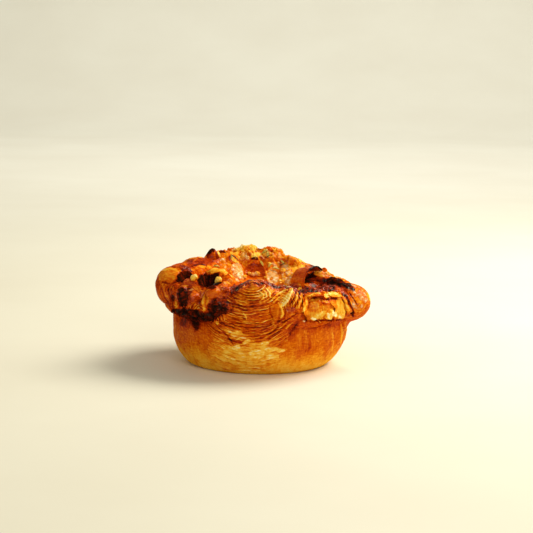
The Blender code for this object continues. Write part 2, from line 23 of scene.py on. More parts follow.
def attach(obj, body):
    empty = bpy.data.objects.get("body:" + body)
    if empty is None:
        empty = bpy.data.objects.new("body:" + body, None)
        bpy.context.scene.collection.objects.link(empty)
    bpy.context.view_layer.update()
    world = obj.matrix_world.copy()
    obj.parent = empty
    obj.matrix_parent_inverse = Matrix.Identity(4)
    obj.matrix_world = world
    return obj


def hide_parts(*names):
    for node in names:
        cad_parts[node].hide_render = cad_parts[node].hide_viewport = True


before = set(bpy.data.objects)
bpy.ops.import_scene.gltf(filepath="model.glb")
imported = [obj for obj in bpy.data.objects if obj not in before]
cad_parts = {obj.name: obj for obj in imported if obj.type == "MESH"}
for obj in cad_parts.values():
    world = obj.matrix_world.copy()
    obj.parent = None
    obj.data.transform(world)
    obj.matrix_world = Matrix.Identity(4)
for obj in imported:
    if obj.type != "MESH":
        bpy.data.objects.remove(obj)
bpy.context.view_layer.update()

log = logging.getLogger("danish_pastry")

Values = np.ndarray  # one number for each point
Points = np.ndarray  # one row of x, y and z for each point

AXIS = Vector((-0.00188, 0.00166, 0.0))  # from the tin's axis to the origin
BODY = "root"
MM = 0.001
TINY = 1e-9
FAR = 99.0  # farther than anything in sight, in millimetres
BLEND_REACH = 0.016  # how far from a shape it still bends the crown


class Channel(Enum):
    """What each point of a crust remembers for its finish."""

    BAKE = "bake"
    # how deep in a crease, seam or pock a point is; the finish darkens it as painted shade and browner crust
    CREASE = "crease"
    GLAZE = "glaze"
    CREAM = "cream"
    FLOW = "flow"


# ---------------------------------------------------------------- values and noise


def ease(values: Values, low: float, high: float) -> Values:
    """Rises smoothly from 0 at low to 1 at high, or falls where high is the lesser.

    Args:
        values: What is eased.
        low: Where the result is 0.
        high: Where the result is 1.

    Returns:
        Values from 0 to 1.
    """
    share = np.clip((values - low) / (high - low), 0, 1)
    return share * share * (3 - 2 * share)


def mix(under: Values, over: Values | float, share: Values) -> Values:
    """Goes from what is under to what is over, by a share from 0 to 1."""
    return under * (1 - share) + over * share


def hump(values: Values, middle: float, spread: float) -> Values:
    """A bell of height 1 round a middle."""
    return np.exp(-(((values - middle) / spread) ** 2))


def turned(azimuth: Values, middle: float) -> Values:
    """How many degrees an azimuth is past a middle, from -180 to 180."""
    return (azimuth - middle + 180) % 360 - 180


def outward_at(azimuth: Values) -> Points:
    """Level lines that point outward at azimuths."""
    around = np.radians(azimuth)
    return np.stack([np.cos(around), np.sin(around), np.zeros_like(around)], axis=1)


def raised(flat: Points, height: Values) -> Points:
    """Points at heights over their places in plan."""
    return np.column_stack([flat[:, :2], height])


def groove(phase: Values, width: float) -> Values:
    """1 in the narrow creases between layers, 0 on the layers.

    Args:
        phase: A count of layers, with a crease at each whole number.
        width: Half the crease's width, as a share of a layer.

    Returns:
        Values from 0 to 1.
    """
    off = np.abs(phase - np.round(phase))
    return np.exp(-((off / width) ** 2))


@dataclass(frozen=True)
class Grain:
    """Seeded noise, worked out for many points at once."""

    seed: int
    seed_step: int = 2654435
    primes: tuple[int, int, int] = (73856093, 19349663, 83492791)
    mixers: tuple[int, int] = (1274126177, 1103515245)

    def code_of(self, cell: np.ndarray) -> np.ndarray:
        """Mixes the whole-number coordinates of each cell into one random number of 32 bits.

        Args:
            cell: Rows of three whole numbers.

        Returns:
            A number for each row.
        """
        wide = cell.astype(np.uint32)
        first, second, third = (wide[:, axis] * np.uint32(prime) for axis, prime in enumerate(self.primes))
        code = first ^ second ^ third ^ np.uint32(self.seed * self.seed_step % 2**31)
        code = code * np.uint32(self.mixers[0])
        code = (code ^ (code >> np.uint32(13))) * np.uint32(self.mixers[1])
        return code ^ (code >> np.uint32(16))

    def _spread(self, cell: np.ndarray) -> Points:
        """Draws three random numbers for each cell, of 10 bits each.

        Args:
            cell: Rows of three whole numbers.

        Returns:
            Rows of three numbers from -1 to 1.
        """
        code = self.code_of(cell)
        parts = [(code >> np.uint32(shift)) & np.uint32(1023) for shift in (0, 10, 20)]
        return np.stack(parts, axis=1) / 511.5 - 1

    def smooth(self, points: Points, size: float) -> Values:
        """Gradient noise.

        Args:
            points: Where it is read.
            size: How wide its features are, in metres.

        Returns:
            Values from about -1 to 1.
        """
        scaled = points / size
        cell = np.floor(scaled).astype(np.int64)
        part = scaled - cell
        blend = part**3 * (part * (part * 6 - 15) + 10)
        value = np.zeros(len(points))
        for corner in itertools.product((0, 1), repeat=3):
            weight = np.prod(np.where(corner, blend, 1 - blend), axis=1)
            value += weight * np.sum(self._spread(cell + corner) * (part - corner), axis=1)
        return value * 1.3

    def fractal(self, points: Points, size: float, octaves: int = 3) -> Values:
        """Noise with finer noise on it, each octave half as wide and half as high.

        Args:
            points: Where it is read.
            size: How wide its widest features are, in metres.
            octaves: How many sizes of features it has.

        Returns:
            Values from about -1.7 to 1.7.
        """
        layers = (self.smooth(points + n * 0.37, size / 2**n) / 2**n for n in range(octaves))
        return sum(layers)

    def cells(self, points: Points, size: float) -> Values:
        """How far each point is from the nearest of a scatter of points.

        Args:
            points: Where it is read.
            size: How far apart the scattered points are, in metres.

        Returns:
            Distances as a share of size.
        """
        scaled = points / size
        cell = np.floor(scaled).astype(np.int64)
        nearest = np.full(len(points), 9.0)
        for step in itertools.product((-1, 0, 1), repeat=3):
            place = cell + step + 0.5 + 0.4 * self._spread(cell + step)
            nearest = np.minimum(nearest, np.sum((scaled - place) ** 2, axis=1))
        return np.sqrt(nearest)


LARGE_GRAIN = Grain(11)
LAYER_GRAIN = Grain(23)
CRUMB_GRAIN = Grain(37)
PATCH_GRAIN = Grain(51)


@dataclass(frozen=True)
class Sight:
    """The view from the front, a little above the table, that the marks on the crust are told in."""

    elevation: float = 8.3
    roll: float = 1.1
    distance: float = 0.90
    aim: tuple[float, float, float] = (0.00306, 0.0, 0.04897)

    @property
    def eye(self) -> Vector:
        """Where it looks from."""
        tilt = math.radians(self.elevation)
        return Vector(self.aim) + Vector((0, -math.cos(tilt), math.sin(tilt))) * self.distance

    @property
    def turn(self) -> Matrix:
        """Its right, up and back lines, as the columns of a turn."""
        looking = (Vector(self.aim) - self.eye).to_track_quat("-Z", "Y").to_matrix()
        return looking @ Matrix.Rotation(math.radians(self.roll), 3, "Z")

    def seen(self, points: Points) -> Points:
        """Where points appear, on an upright plane through the aim.

        Args:
            points: The points.

        Returns:
            Rows of millimetres to the right and up.
        """
        local = (points - np.array(self.eye)) @ np.array(self.turn)
        scale = self.distance / -local[:, 2]
        right = self.aim[0] + local[:, 0] * scale
        up = self.aim[2] + local[:, 1] * scale / math.cos(math.radians(self.elevation))
        return np.stack([right, up], axis=1) / MM


SIGHT = Sight()


def ragged_share(off: Values, ragged: Values) -> Values:
    """1 well inside a shape and 0 outside it, where off is 1 on its plain edge."""
    return ease(off + 0.42 * ragged, 1.35, 0.55)


@dataclass(frozen=True)
class Mark:
    """A ragged oval on the crust, told in millimetres as seen from the front."""

    right: float
    up: float
    half_wide: float
    half_tall: float
    turn: float
    strength: float
    stripes: float = 0.0

    def on(self, sight: Points, ragged: Values) -> Values:
        """How much of the mark lies on each point.

        Args:
            sight: Where the points appear.
            ragged: Noise that makes its edge uneven.

        Returns:
            Values between 0 and the mark's strength.
        """
        cosine, sine = math.cos(math.radians(self.turn)), math.sin(math.radians(self.turn))
        right, up = sight[:, 0] - self.right, sight[:, 1] - self.up
        across = (right * cosine + up * sine) / self.half_wide
        along = (up * cosine - right * sine) / self.half_tall
        share = self.strength * ragged_share(np.hypot(across, along), ragged)
        if self.stripes:
            share = share * ease(np.sin(2 * math.pi * (along * self.stripes + 0.9 * ragged)), -0.9, 0.5)
        return share


@dataclass(frozen=True)
class Patch:
    """A ragged round patch of the crust, where the front doesn't show it."""

    place: tuple[float, float, float]
    reach: float
    strength: float

    def on(self, points: Points, ragged: Values) -> Values:
        """How much of the patch lies on each point.

        Args:
            points: The points.
            ragged: Noise that makes its edge uneven.

        Returns:
            Values between 0 and the patch's strength.
        """
        off = np.linalg.norm(points - np.array(self.place), axis=1) / self.reach
        return self.strength * ragged_share(off, ragged)


@dataclass
class Drawn:
    """What the tones and strokes add at some points."""

    lift: Values
    bake: Values
    char: Values
    gloss: Values
    bubbles: Values
    cream: Values
    calm: Values
    tone: Values
    toned: Values


LOOKS = ("gloss", "bubbles", "cream", "calm")  # what a tone and a stroke both tell


def near_line(spots: Points, half_wide: float, sight: Points) -> np.ndarray:
    """Which points appear near enough to a line for it to touch them.

    Args:
        spots: The line's spots.
        half_wide: Half the line's width.
        sight: Where the points appear.

    Returns:
        The points' numbers.
    """
    margin = 2 * half_wide
    inside = (sight > spots.min(axis=0) - margin) & (sight < spots.max(axis=0) + margin)
    return np.nonzero(np.all(inside, axis=1))[0]


def measure_line(spots: Points, sight: Points) -> tuple[Values, Values]:
    """Measures points against a line through some spots.

    Args:
        spots: The line's spots.
        sight: Where the points appear.

    Returns:
        How far they are from the line, and how far along it from 0 to 1.
    """
    steps = np.linalg.norm(np.diff(spots, axis=0), axis=1)
    before = np.concatenate([[0.0], np.cumsum(steps)])
    gap = np.full(len(sight), FAR)
    progress = np.zeros(len(sight))
    for index, length in enumerate(steps):
        way = (spots[index + 1] - spots[index]) / length
        along = np.clip((sight - spots[index]) @ way, 0, length)
        off = np.linalg.norm(sight - spots[index] - along[:, None] * way, axis=1)
        progress = np.where(off < gap, (before[index] + along) / before[-1], progress)
        gap = np.minimum(gap, off)
    return gap, progress


@dataclass(frozen=True)
class Stroke:
    """A ridge or a crease along a line, told in millimetres as seen from the front."""

    line: tuple[tuple[float, float], ...]
    half_wide: float
    lift: float = 0.0
    bake: float = 0.0
    char: float = 0.0
    gloss: float = 0.0
    bubbles: float = 0.0
    cream: float = 0.0
    calm: float = 0.7

    def add_to(self, drawn: Drawn, sight: Points, ragged: Values) -> None:
        """Adds the stroke to what is drawn.

        Args:
            drawn: What the strokes before it add.
            sight: Where the points appear.
            ragged: Noise that makes its edge uneven.
        """
        spots = np.array(self.line)
        near = near_line(spots, self.half_wide, sight)
        if not len(near):
            return
        gap, progress = measure_line(spots, sight[near])
        taper = 0.45 + 0.55 * ease(np.minimum(progress, 1 - progress), 0.0, 0.2)
        share = ease(gap / (self.half_wide * taper) + 0.25 * ragged[near], 1.35, 0.35)
        drawn.lift[near] += self.lift * MM * share
        drawn.bake[near] += self.bake * share
        drawn.char[near] = np.maximum(drawn.char[near], self.char * np.clip(1.7 * share, 0, 1))
        for look in LOOKS:
            kept = getattr(drawn, look)
            kept[near] = np.maximum(kept[near], getattr(self, look) * share)


@dataclass(frozen=True)
class Tone:
    """A patch of crust with a bake of its own, round spots told in millimetres as seen from the front."""

    line: tuple[tuple[float, float], ...]
    half_wide: float
    to_bake: float
    cream: float = 0.0
    gloss: float = 0.15
    bubbles: float = 0.0
    lift: float = 0.0
    mottle: float = 1.0
    calm: float = 0.7

    def add_to(self, drawn: Drawn, sight: Points, ragged: Values) -> None:
        """Lays the tone over what is drawn.

        Args:
            drawn: What lies under it.
            sight: Where the points appear.
            ragged: Noise that makes its edge uneven.
        """
        spots = np.array(self.line)
        near = near_line(spots, self.half_wide, sight)
        if not len(near):
            return
        gap, _ = measure_line(spots, sight[near])
        off = gap / self.half_wide + 0.22 * ragged[near]
        share = ease(off, 1.2, 0.8)
        drawn.lift[near] += self.lift * MM * ease(off, 1.2, 0.1)
        drawn.tone[near] = mix(drawn.tone[near], self.to_bake + 0.06 * self.mottle * ragged[near], share)
        drawn.toned[near] = mix(drawn.toned[near], 1.0, share)
        for look in LOOKS:
            kept = getattr(drawn, look)
            kept[near] = mix(kept[near], getattr(self, look), share)


def draw(strokes: tuple[Stroke | Tone, ...], sight: Points, ragged: Values, weight: Values) -> Drawn:
    """Draws tones and strokes.

    Args:
        strokes: The tones and strokes, in order.
        sight: Where the points appear.
        ragged: Noise that makes their edges uneven.
        weight: How much they count at each point.

    Returns:
        What they add.
    """
    drawn = Drawn(*(np.zeros(len(sight)) for _ in fields(Drawn)))
    for stroke in strokes:
        stroke.add_to(drawn, sight, ragged)
    for kept in vars(drawn).values():
        kept *= weight
    return drawn


def total(marks: tuple[Mark, ...] | tuple[Patch, ...], place: Points, ragged: Values) -> Values:
    """All the marks or patches at each point, added up."""
    return sum(mark.on(place, ragged) for mark in marks)


@dataclass(frozen=True)
class Slivers:
    """Thin layers of dough, each torn along its length into slivers."""

    length: float = 0.0055
    seed: int = 5

    def _chance(self, row: Values, column: Values, salt: int) -> Values:
        """A random number for each sliver.

        Args:
            row: Which layer it is in.
            column: Which sliver of the layer it is.
            salt: Which of its numbers is asked for.

        Returns:
            Values from 0 to 1.
        """
        cell = np.stack([row, column, np.full_like(row, salt)], axis=1).astype(np.int64)
        return ((Grain(self.seed).code_of(cell) >> np.uint32(5)) & np.uint32(4095)) / 4095

    def at(self, count: Values, along: Values) -> tuple[Values, Values, Values]:
        """Reads the layers.

        Args:
            count: How many layers in each point is.
            along: How far along them it is.

        Returns:
            Each point's height on its sliver, its sliver's tint, and how deep in a crease it is, from 0 to 1.
        """
        row = np.floor(count)
        part = count - row
        seat = along / self.length + 9 * self._chance(row, row * 0, 1)
        column = np.floor(seat)
        swap = ease(seat - column, 0.32, 0.68)
        tint, deep = (
            mix(self._chance(row, column, salt), self._chance(row, column + 1, salt), swap) for salt in (2, 3)
        )
        height = part**1.3 * ease(part, 1.0, 0.84) * (0.3 + 0.7 * tint)
        crease = np.maximum(hump(part, 0.02, 0.17), hump(part, 1.0, 0.10)) * ease(deep, 0.15, 0.75)
        return height, tint, crease


@dataclass(frozen=True)
class Whorl:
    """Layers that curve round a focus, seen from outside the rim at an azimuth.

    The layers are a pitch apart, and the more so the farther out. The whorl is narrower below its focus.
    """

    azimuth: float
    along: float
    height: float
    pitch: float
    wide: float
    widening: float
    narrowing: float = 0.0
    sink: float = 0.146
    narrowed: tuple[float, float] = (0.010, 0.030)
    least: float = 0.003

    def read(self, points: Points) -> tuple[Values, Values, Values, Values]:
        """Places points among the layers.

        Args:
            points: The points.

        Returns:
            The count of layers, the length along them, and the places to the side of the focus and below it.
        """
        around = math.radians(self.azimuth)
        side = points[:, 1] * math.cos(around) - points[:, 0] * math.sin(around) - self.along
        out = points[:, 0] * math.cos(around) + points[:, 1] * math.sin(around)
        drop = self.height - points[:, 2] + self.sink * out
        wide = self.wide + self.narrowing * ease(drop, *self.narrowed)
        away = np.hypot(side * wide, drop)
        count = away / (self.pitch + self.widening * away)
        return count, np.arctan2(side, drop) * np.maximum(away, self.least), side, drop


# ---------------------------------------------------------------- forms


def turn_of(azimuth: float, lean: float = 0.0) -> Matrix:
    """The turn whose columns point outward, along the rim and up at an azimuth.

    Args:
        azimuth: Degrees round the tin's axis.
        lean: Degrees turned about the outward line.

    Returns:
        A 3 by 3 turn.
    """
    return Matrix.Rotation(math.radians(azimuth), 3, "Z") @ Matrix.Rotation(math.radians(lean), 3, "X")


@dataclass(frozen=True)
class Lobe:
    """One swollen fold of the crown: an ellipsoid that faces out from the tin's axis."""

    azimuth: float
    reach: float
    height: float
    outward: float
    along: float
    tall: float
    lean: float = 0.0

    @property
    def middle(self) -> Vector:
        """The lobe's middle."""
        return turn_of(self.azimuth) @ Vector((self.reach, 0, 0)) + Vector((0, 0, self.height))

    @property
    def half(self) -> tuple[float, float, float]:
        """Half sizes: outward, along the rim and up."""
        return (self.outward, self.along, self.tall)

    @property
    def turn(self) -> Matrix:
        """The lobe's own turn."""
        return turn_of(self.azimuth, lean=self.lean)


@dataclass(frozen=True)
class Ball:
    """An ellipsoid told by its middle, half sizes and turn."""

    middle: tuple[float, float, float]
    half: tuple[float, float, float]
    turn: Matrix


def turned_ball(middle: tuple, half: tuple, degrees: tuple = (0, 0, 0)) -> Ball:
    """A ball whose turn is told in degrees about X, Y and Z."""
    return Ball(middle, half, Euler([math.radians(angle) for angle in degrees]).to_matrix())


def distance_from(shape: Lobe | Ball, points: Points) -> Values:
    """How far each point is outside an ellipsoid, below zero inside.

    Args:
        shape: The ellipsoid.
        points: The points.

    Returns:
        Distances in metres.
    """
    local = (points - np.array(shape.middle)) @ np.array(shape.turn)
    half = np.array(shape.half)
    near = np.linalg.norm(local / half, axis=1)
    slope = np.linalg.norm(local / half**2, axis=1)
    return near * (near - 1) / np.maximum(slope, TINY)


def soft_union(parts: list[Values], blend: float) -> Values:
    """Joins distances, with the corners between them rounded by about a blend."""
    nearest = np.min(parts, axis=0)
    return nearest - blend * np.log(sum(np.exp((nearest - part) / blend) for part in parts))


@dataclass(frozen=True)
class CrownForm:
    """The folded crown: a ring, the lobes that swell from it, and the folds, knobs and hollows on them."""

    ring_radius: float = 0.0360
    ring_height: float = 0.0340
    ring_rise: float = 0.0035
    high_azimuth: float = 120
    ring_half: tuple[float, float] = (0.0110, 0.0085)
    lobe_blend: float = 0.0011
    knob_blend: float = 0.00045
    knob_flatten: float = 0.9
    reach: float = 0.0280
    least: float = 0.002
    steps: int = 44
    care: float = 0.75
    close: float = 0.00002
    lobes: tuple[Lobe, ...] = (
        Lobe(196, 0.0432, 0.0398, 0.0114, 0.0125, 0.0104, -14),
        Lobe(201, 0.0390, 0.0334, 0.0110, 0.0160, 0.0090, 8),
        Lobe(171, 0.0388, 0.0406, 0.0125, 0.0120, 0.0086, 6),
        Lobe(221, 0.0400, 0.0362, 0.0115, 0.0110, 0.0115, 10),
        Lobe(243, 0.0402, 0.0352, 0.0108, 0.0090, 0.0108),
        Lobe(268, 0.0408, 0.0366, 0.0118, 0.0138, 0.0110),
        Lobe(289, 0.0412, 0.0352, 0.0110, 0.0085, 0.0098),
        Lobe(309, 0.0398, 0.0335, 0.0115, 0.0115, 0.0092, 8),
        Lobe(331, 0.0398, 0.0332, 0.0112, 0.0105, 0.0090, 10),
        Lobe(350, 0.0448, 0.0326, 0.0120, 0.0118, 0.0092, 14),
        Lobe(16, 0.0405, 0.0325, 0.0118, 0.0135, 0.0090, 12),
        Lobe(43, 0.0398, 0.0338, 0.0126, 0.0125, 0.0100, 16),
        Lobe(56, 0.0405, 0.0355, 0.0112, 0.0115, 0.0100),
        Lobe(66, 0.0388, 0.0380, 0.0122, 0.0100, 0.0112, -8),
        Lobe(82, 0.0385, 0.0415, 0.0112, 0.0085, 0.0112, 10),
        Lobe(99, 0.0388, 0.0420, 0.0118, 0.0110, 0.0114, 4),
        Lobe(121, 0.0388, 0.0410, 0.0118, 0.0110, 0.0112, -10),
        Lobe(133, 0.0405, 0.0385, 0.0112, 0.0110, 0.0100),
        Lobe(147, 0.0392, 0.0396, 0.0122, 0.0110, 0.0104, -16),
    )
    knobs: tuple[tuple[float, float, float, float], ...] = (
        (242, 37, 0.0037, 0.0035),
        (238, 8, 0.0028, 0.0050),
        (229, 22, 0.0027, 0.0027),
        (222, 20, 0.0034, 0.0040),
        (210, -8, 0.0031, 0.0038),
        (246, 14, 0.0028, 0.0026),
        (251, 20, 0.0024, 0.0024),
        (249, 44, 0.0030, 0.0026),
        (231, -6, 0.0027, 0.0030),
        (218, -10, 0.0024, 0.0032),
        (212, 26, 0.0032, 0.0030),
        (281, 12, 0.0033, 0.0040),
    )
    folds: tuple[Ball, ...] = (
        turned_ball((-0.0205, -0.0215, 0.0440), (0.0092, 0.0052, 0.0058), (0, 18, -34)),
        turned_ball((-0.0335, 0.0120, 0.0445), (0.0092, 0.0066, 0.0040), (12, -16, 52)),
        turned_ball((-0.0255, 0.0270, 0.0490), (0.0040, 0.0028, 0.0034), (0, 14, 20)),
        turned_ball((-0.0256, 0.0270, 0.0510), (0.0022, 0.0017, 0.0030), (0, 8, 20)),
        turned_ball((0.0060, 0.0365, 0.0516), (0.0060, 0.0032, 0.0024), (0, 6, 8)),
        turned_ball((-0.0080, 0.0370, 0.0520), (0.0066, 0.0034, 0.0023), (0, -4, -10)),
        turned_ball((0.0230, 0.0030, 0.0375), (0.0090, 0.0110, 0.0060)),
        turned_ball((0.0330, 0.0040, 0.0415), (0.0075, 0.0062, 0.0044), (0, 14, 0)),
        turned_ball((0.0208, 0.0050, 0.0402), (0.0058, 0.0058, 0.0064)),
        turned_ball((0.0330, 0.0170, 0.0440), (0.0021, 0.0019, 0.0024)),
        turned_ball((-0.0160, 0.0400, 0.0515), (0.0022, 0.0019, 0.0020)),
        turned_ball((0.0412, -0.0110, 0.0245), (0.0044, 0.0100, 0.0062), (0, 0, -15)),
        turned_ball((0.0080, -0.0485, 0.0315), (0.0034, 0.0022, 0.0052), (0, -14, 0)),
        turned_ball((0.0175, -0.0440, 0.0285), (0.0060, 0.0026, 0.0030), (0, 16, 18)),
        turned_ball((-0.0226, -0.0438, 0.0418), (0.0038, 0.0032, 0.0027)),
        turned_ball((0.0405, -0.0100, 0.0405), (0.0085, 0.0042, 0.0030), (0, 22, -40)),
        turned_ball((0.0175, 0.0290, 0.0465), (0.0048, 0.0040, 0.0028), (0, 30, 40)),
    )
    hollows: tuple[Ball, ...] = (
        turned_ball((-0.0250, -0.0290, 0.0450), (0.0045, 0.0070, 0.0048), (-16, 0, 0)),
        turned_ball((-0.0378, -0.0205, 0.0470), (0.0027, 0.0055, 0.0036), (-20, 0, -30)),
    )

    def height_at(self, azimuth: Values) -> Values:
        """The height of the ring, which is highest at the back left."""
        return self.ring_height + self.ring_rise * np.cos(np.radians(azimuth - self.high_azimuth))

    def folded(self, points: Points) -> Values:
        """How far each point is outside the ring and its lobes.

        Args:
            points: The points.

        Returns:
            Distances in metres.
        """
        azimuth = np.degrees(np.arctan2(points[:, 1], points[:, 0]))
        out = (np.hypot(points[:, 0], points[:, 1]) - self.ring_radius) / self.ring_half[0]
        up = (points[:, 2] - self.height_at(azimuth)) / self.ring_half[1]
        ring = (np.hypot(out, up) - 1) * min(self.ring_half)
        near = near_shapes(self.lobes, points)
        return soft_union([ring] + [distance_from(lobe, points) for lobe in near], self.lobe_blend)

    def distance(self, points: Points, swells: tuple[Ball, ...]) -> Values:
        """How far each point is outside the crown, below zero inside.

        Args:
            points: The points.
            swells: The folds and knobs that count.

        Returns:
            Distances in metres.
        """
        near = near_shapes(swells, points)
        parts = [self.folded(points)] + [distance_from(swell, points) for swell in near]
        whole = soft_union(parts, self.knob_blend)
        for hollow in near_shapes(self.hollows, points):
            whole = np.maximum(whole, -distance_from(hollow, points))
        return whole

    def cast(self, origin: Points, direction: Points, swells: tuple[Ball, ...] = ()) -> Values:
        """How far along each direction the crown's outermost surface is.

        Args:
            origin: Where each ray starts, inside the crown.
            direction: Which way it goes, with length 1.
            swells: The folds and knobs that count.

        Returns:
            Distances in metres.
        """
        travel = np.full(len(origin), self.reach)
        live = np.arange(len(origin))
        for _ in range(self.steps):
            gap = self.distance(origin[live] + direction[live] * travel[live, None], swells)
            travel[live] -= self.care * np.maximum(gap, 0)
            live = live[(gap > self.close) & (travel[live] > self.least)]
            if not len(live):
                break
        return np.maximum(travel, self.least)

    def rays(self, azimuth: Values, angle: Values) -> tuple[Points, Points]:
        """The rays that leave the ring at azimuths, and at angles round it.

        Args:
            azimuth: Degrees round the tin's axis.
            angle: Degrees round the ring: 0 outward, 90 on top.

        Returns:
            Where they start, and which way they go.
        """
        tilt = np.radians(angle)[:, None]
        outward = outward_at(azimuth)
        up = np.array((0.0, 0.0, 1.0))
        origin = outward * self.ring_radius + up * self.height_at(azimuth)[:, None]
        return origin, outward * np.cos(tilt) + up * np.sin(tilt)

    def swells(self) -> tuple[Ball, ...]:
        """The folds, and the knobs seated on the lobes.

        Returns:
            All of them, as balls.
        """
        spots = np.array(self.knobs)
        origin, direction = self.rays(spots[:, 0], spots[:, 1])
        seats = origin + direction * self.cast(origin, direction)[:, None]
        made = list(self.folds)
        for seat, way, (_, _, across, tall) in zip(seats, direction, self.knobs):
            turn = Vector(way).to_track_quat("X", "Z").to_matrix()
            made.append(Ball(tuple(seat), (across * self.knob_flatten, across, tall), turn))
        return tuple(made)

    def surface(self, azimuth: Values, angle: Values) -> tuple[Points, Points]:
        """The crown's surface at azimuths and at angles round its ring.

        Args:
            azimuth: Degrees round the tin's axis.
            angle: Degrees round the ring: 0 outward, 90 on top.

        Returns:
            The points, and the way out at each.
        """
        origin, direction = self.rays(azimuth, angle)
        return origin + direction * self.cast(origin, direction, SWELLS)[:, None], direction


def near_shapes(shapes: tuple, points: Points) -> list:
    """The shapes that some of the points might touch.

    Args:
        shapes: Lobes or balls.
        points: The points.

    Returns:
        Those within reach of the points.
    """
    low, high = points.min(axis=0), points.max(axis=0)
    kept = []
    for shape in shapes:
        middle, reach = np.array(shape.middle), max(shape.half) + BLEND_REACH
        if np.all(middle + reach > low) and np.all(middle - reach < high):
            kept.append(shape)
    return kept


@dataclass(frozen=True)
class CupForm:
    """The tin's shape: a rounded foot, then a wall that flares a little and tucks in under the crown."""

    foot_radius: float = 0.0353
    lip_radius: float = 0.0439
    lip_height: float = 0.0160
    bulge: float = 2.2
    flare_from: float = 0.0100
    flare: float = 0.07
    crown_foot: float = 0.0270
    tuck: float = 0.40
    lean_height: float = 0.0140
    lean: float = 0.0009
    top: float = 0.0350

    def radius(self, azimuth: Values, height: Values) -> Values:
        """The wall's radius.

        Args:
            azimuth: Degrees round the tin's axis.
            height: Heights above the table.

        Returns:
            Radii in metres.
        """
        share = np.maximum(0, 1 - height / self.lip_height)
        radius = self.lip_radius - (self.lip_radius - self.foot_radius) * share**self.bulge
        radius = radius + self.flare * np.maximum(0, height - self.flare_from)
        radius = radius - self.tuck * np.maximum(0, height - self.crown_foot)
        return radius - self.lean * (1 - height / self.lean_height) * np.cos(np.radians(azimuth))

    def points_at(self, azimuth: Values, height: Values) -> Points:
        """Points on the plain wall."""
        return raised(outward_at(azimuth) * self.radius(azimuth, height)[:, None], height)


CROWN = CrownForm()
CUP = CupForm()
SWELLS = CROWN.swells()
FINE = 1.0  # how finely the meshes are cut


# ---------------------------------------------------------------- meshes


def deselect() -> None:
    """Leaves nothing selected, so that an operator acts on its own piece alone."""
    bpy.ops.object.select_all(action="DESELECT")


def named(name: str) -> bpy.types.Object:
    """Names the primitive that was just added.

    Args:
        name: What it is called.

    Returns:
        The primitive.
    """
    piece = bpy.context.active_object
    piece.name = name
    piece.data.name = name
    return piece


def add_ball(name: str, columns: int, rings: int) -> tuple[bpy.types.Object, Points]:
    """Adds a sphere of radius 1, to be shaped into a piece.

    Args:
        name: What the piece is called.
        columns: How many faces it has round.
        rings: How many it has from pole to pole.

    Returns:
        The piece, and its vertices.
    """
    deselect()
    bpy.ops.mesh.primitive_uv_sphere_add(segments=columns, ring_count=rings, radius=1)
    piece = named(name)
    return piece, read_points(piece)


def azimuth_of(unit: Points) -> Values:
    """Degrees round the upright axis, from 0 to 360."""
    return np.degrees(np.arctan2(unit[:, 1], unit[:, 0])) % 360


def polar_of(unit: Points) -> Values:
    """How far down a sphere of radius 1 points are, from 0 at its top to 1."""
    return np.arccos(np.clip(unit[:, 2], -1, 1)) / math.pi


def read_points(piece: bpy.types.Object) -> Points:
    """Reads the vertices of a mesh.

    Args:
        piece: The piece.

    Returns:
        Their places.
    """
    flat = np.empty(len(piece.data.vertices) * 3)
    piece.data.vertices.foreach_get("co", flat)
    return flat.reshape(-1, 3)


def write_points(piece: bpy.types.Object, points: Points) -> None:
    """Moves the vertices of a mesh."""
    piece.data.vertices.foreach_set("co", points.ravel())
    piece.data.update()


def write_channel(piece: bpy.types.Object, channel: Channel, values: Values) -> None:
    """Keeps one channel of a crust on its vertices."""
    layer = piece.data.attributes.new(channel.value, "FLOAT", "POINT")
    layer.data.foreach_set("value", np.clip(values, 0, 1).astype(np.float32))


def settle(piece: bpy.types.Object) -> None:
    """Puts a piece's place into its mesh, in the part's own frame, and shades it smooth.

    Args:
        piece: The piece, told from the tin's axis.
    """
    piece.data.transform(Matrix.Translation(AXIS) @ piece.matrix_world)
    piece.matrix_world = Matrix.Identity(4)
    piece.data.shade_smooth()


def join(pieces: list[bpy.types.Object], name: str) -> bpy.types.Object:
    """Joins pieces into one mesh.

    Args:
        pieces: The pieces, with the first kept.
        name: What the one is called.

    Returns:
        The joined piece.
    """
    deselect()
    for piece in pieces:
        piece.select_set(True)
    bpy.context.view_layer.objects.active = pieces[0]
    bpy.ops.object.join()
    return named(name)


def apply_all(piece: bpy.types.Object) -> None:
    """Applies a piece's modifiers in order.

    Args:
        piece: The piece.
    """
    deselect()
    piece.select_set(True)
    bpy.context.view_layer.objects.active = piece
    for modifier in list(piece.modifiers):
        bpy.ops.object.modifier_apply(modifier=modifier.name)


@dataclass
class Crust:
    """The channels of one mesh, filled in as it is shaped."""

    bake: Values
    crease: Values
    glaze: Values
    cream: Values
    flow: Points

    def keep_on(self, piece: bpy.types.Object) -> None:
        """Writes every channel onto a mesh.

        Args:
            piece: The piece, with a vertex for each value.
        """
        write_channel(piece, Channel.BAKE, self.bake)
        write_channel(piece, Channel.CREASE, self.crease)
        write_channel(piece, Channel.GLAZE, self.glaze)
        write_channel(piece, Channel.CREAM, self.cream)
        layer = piece.data.attributes.new(Channel.FLOW.value, "FLOAT_VECTOR", "POINT")
        layer.data.foreach_set("vector", self.flow.astype(np.float32).ravel())


def flow_of(across: Values, along: Values, strength: Values) -> Points:
    """The strands of a crust: layers across them, metres along them, and how much they show."""
    return np.stack([across, along / MM, np.clip(strength, 0, 1)], axis=1)


def no_flow(points: Points) -> Points:
    """No strands."""
    return np.zeros_like(points)


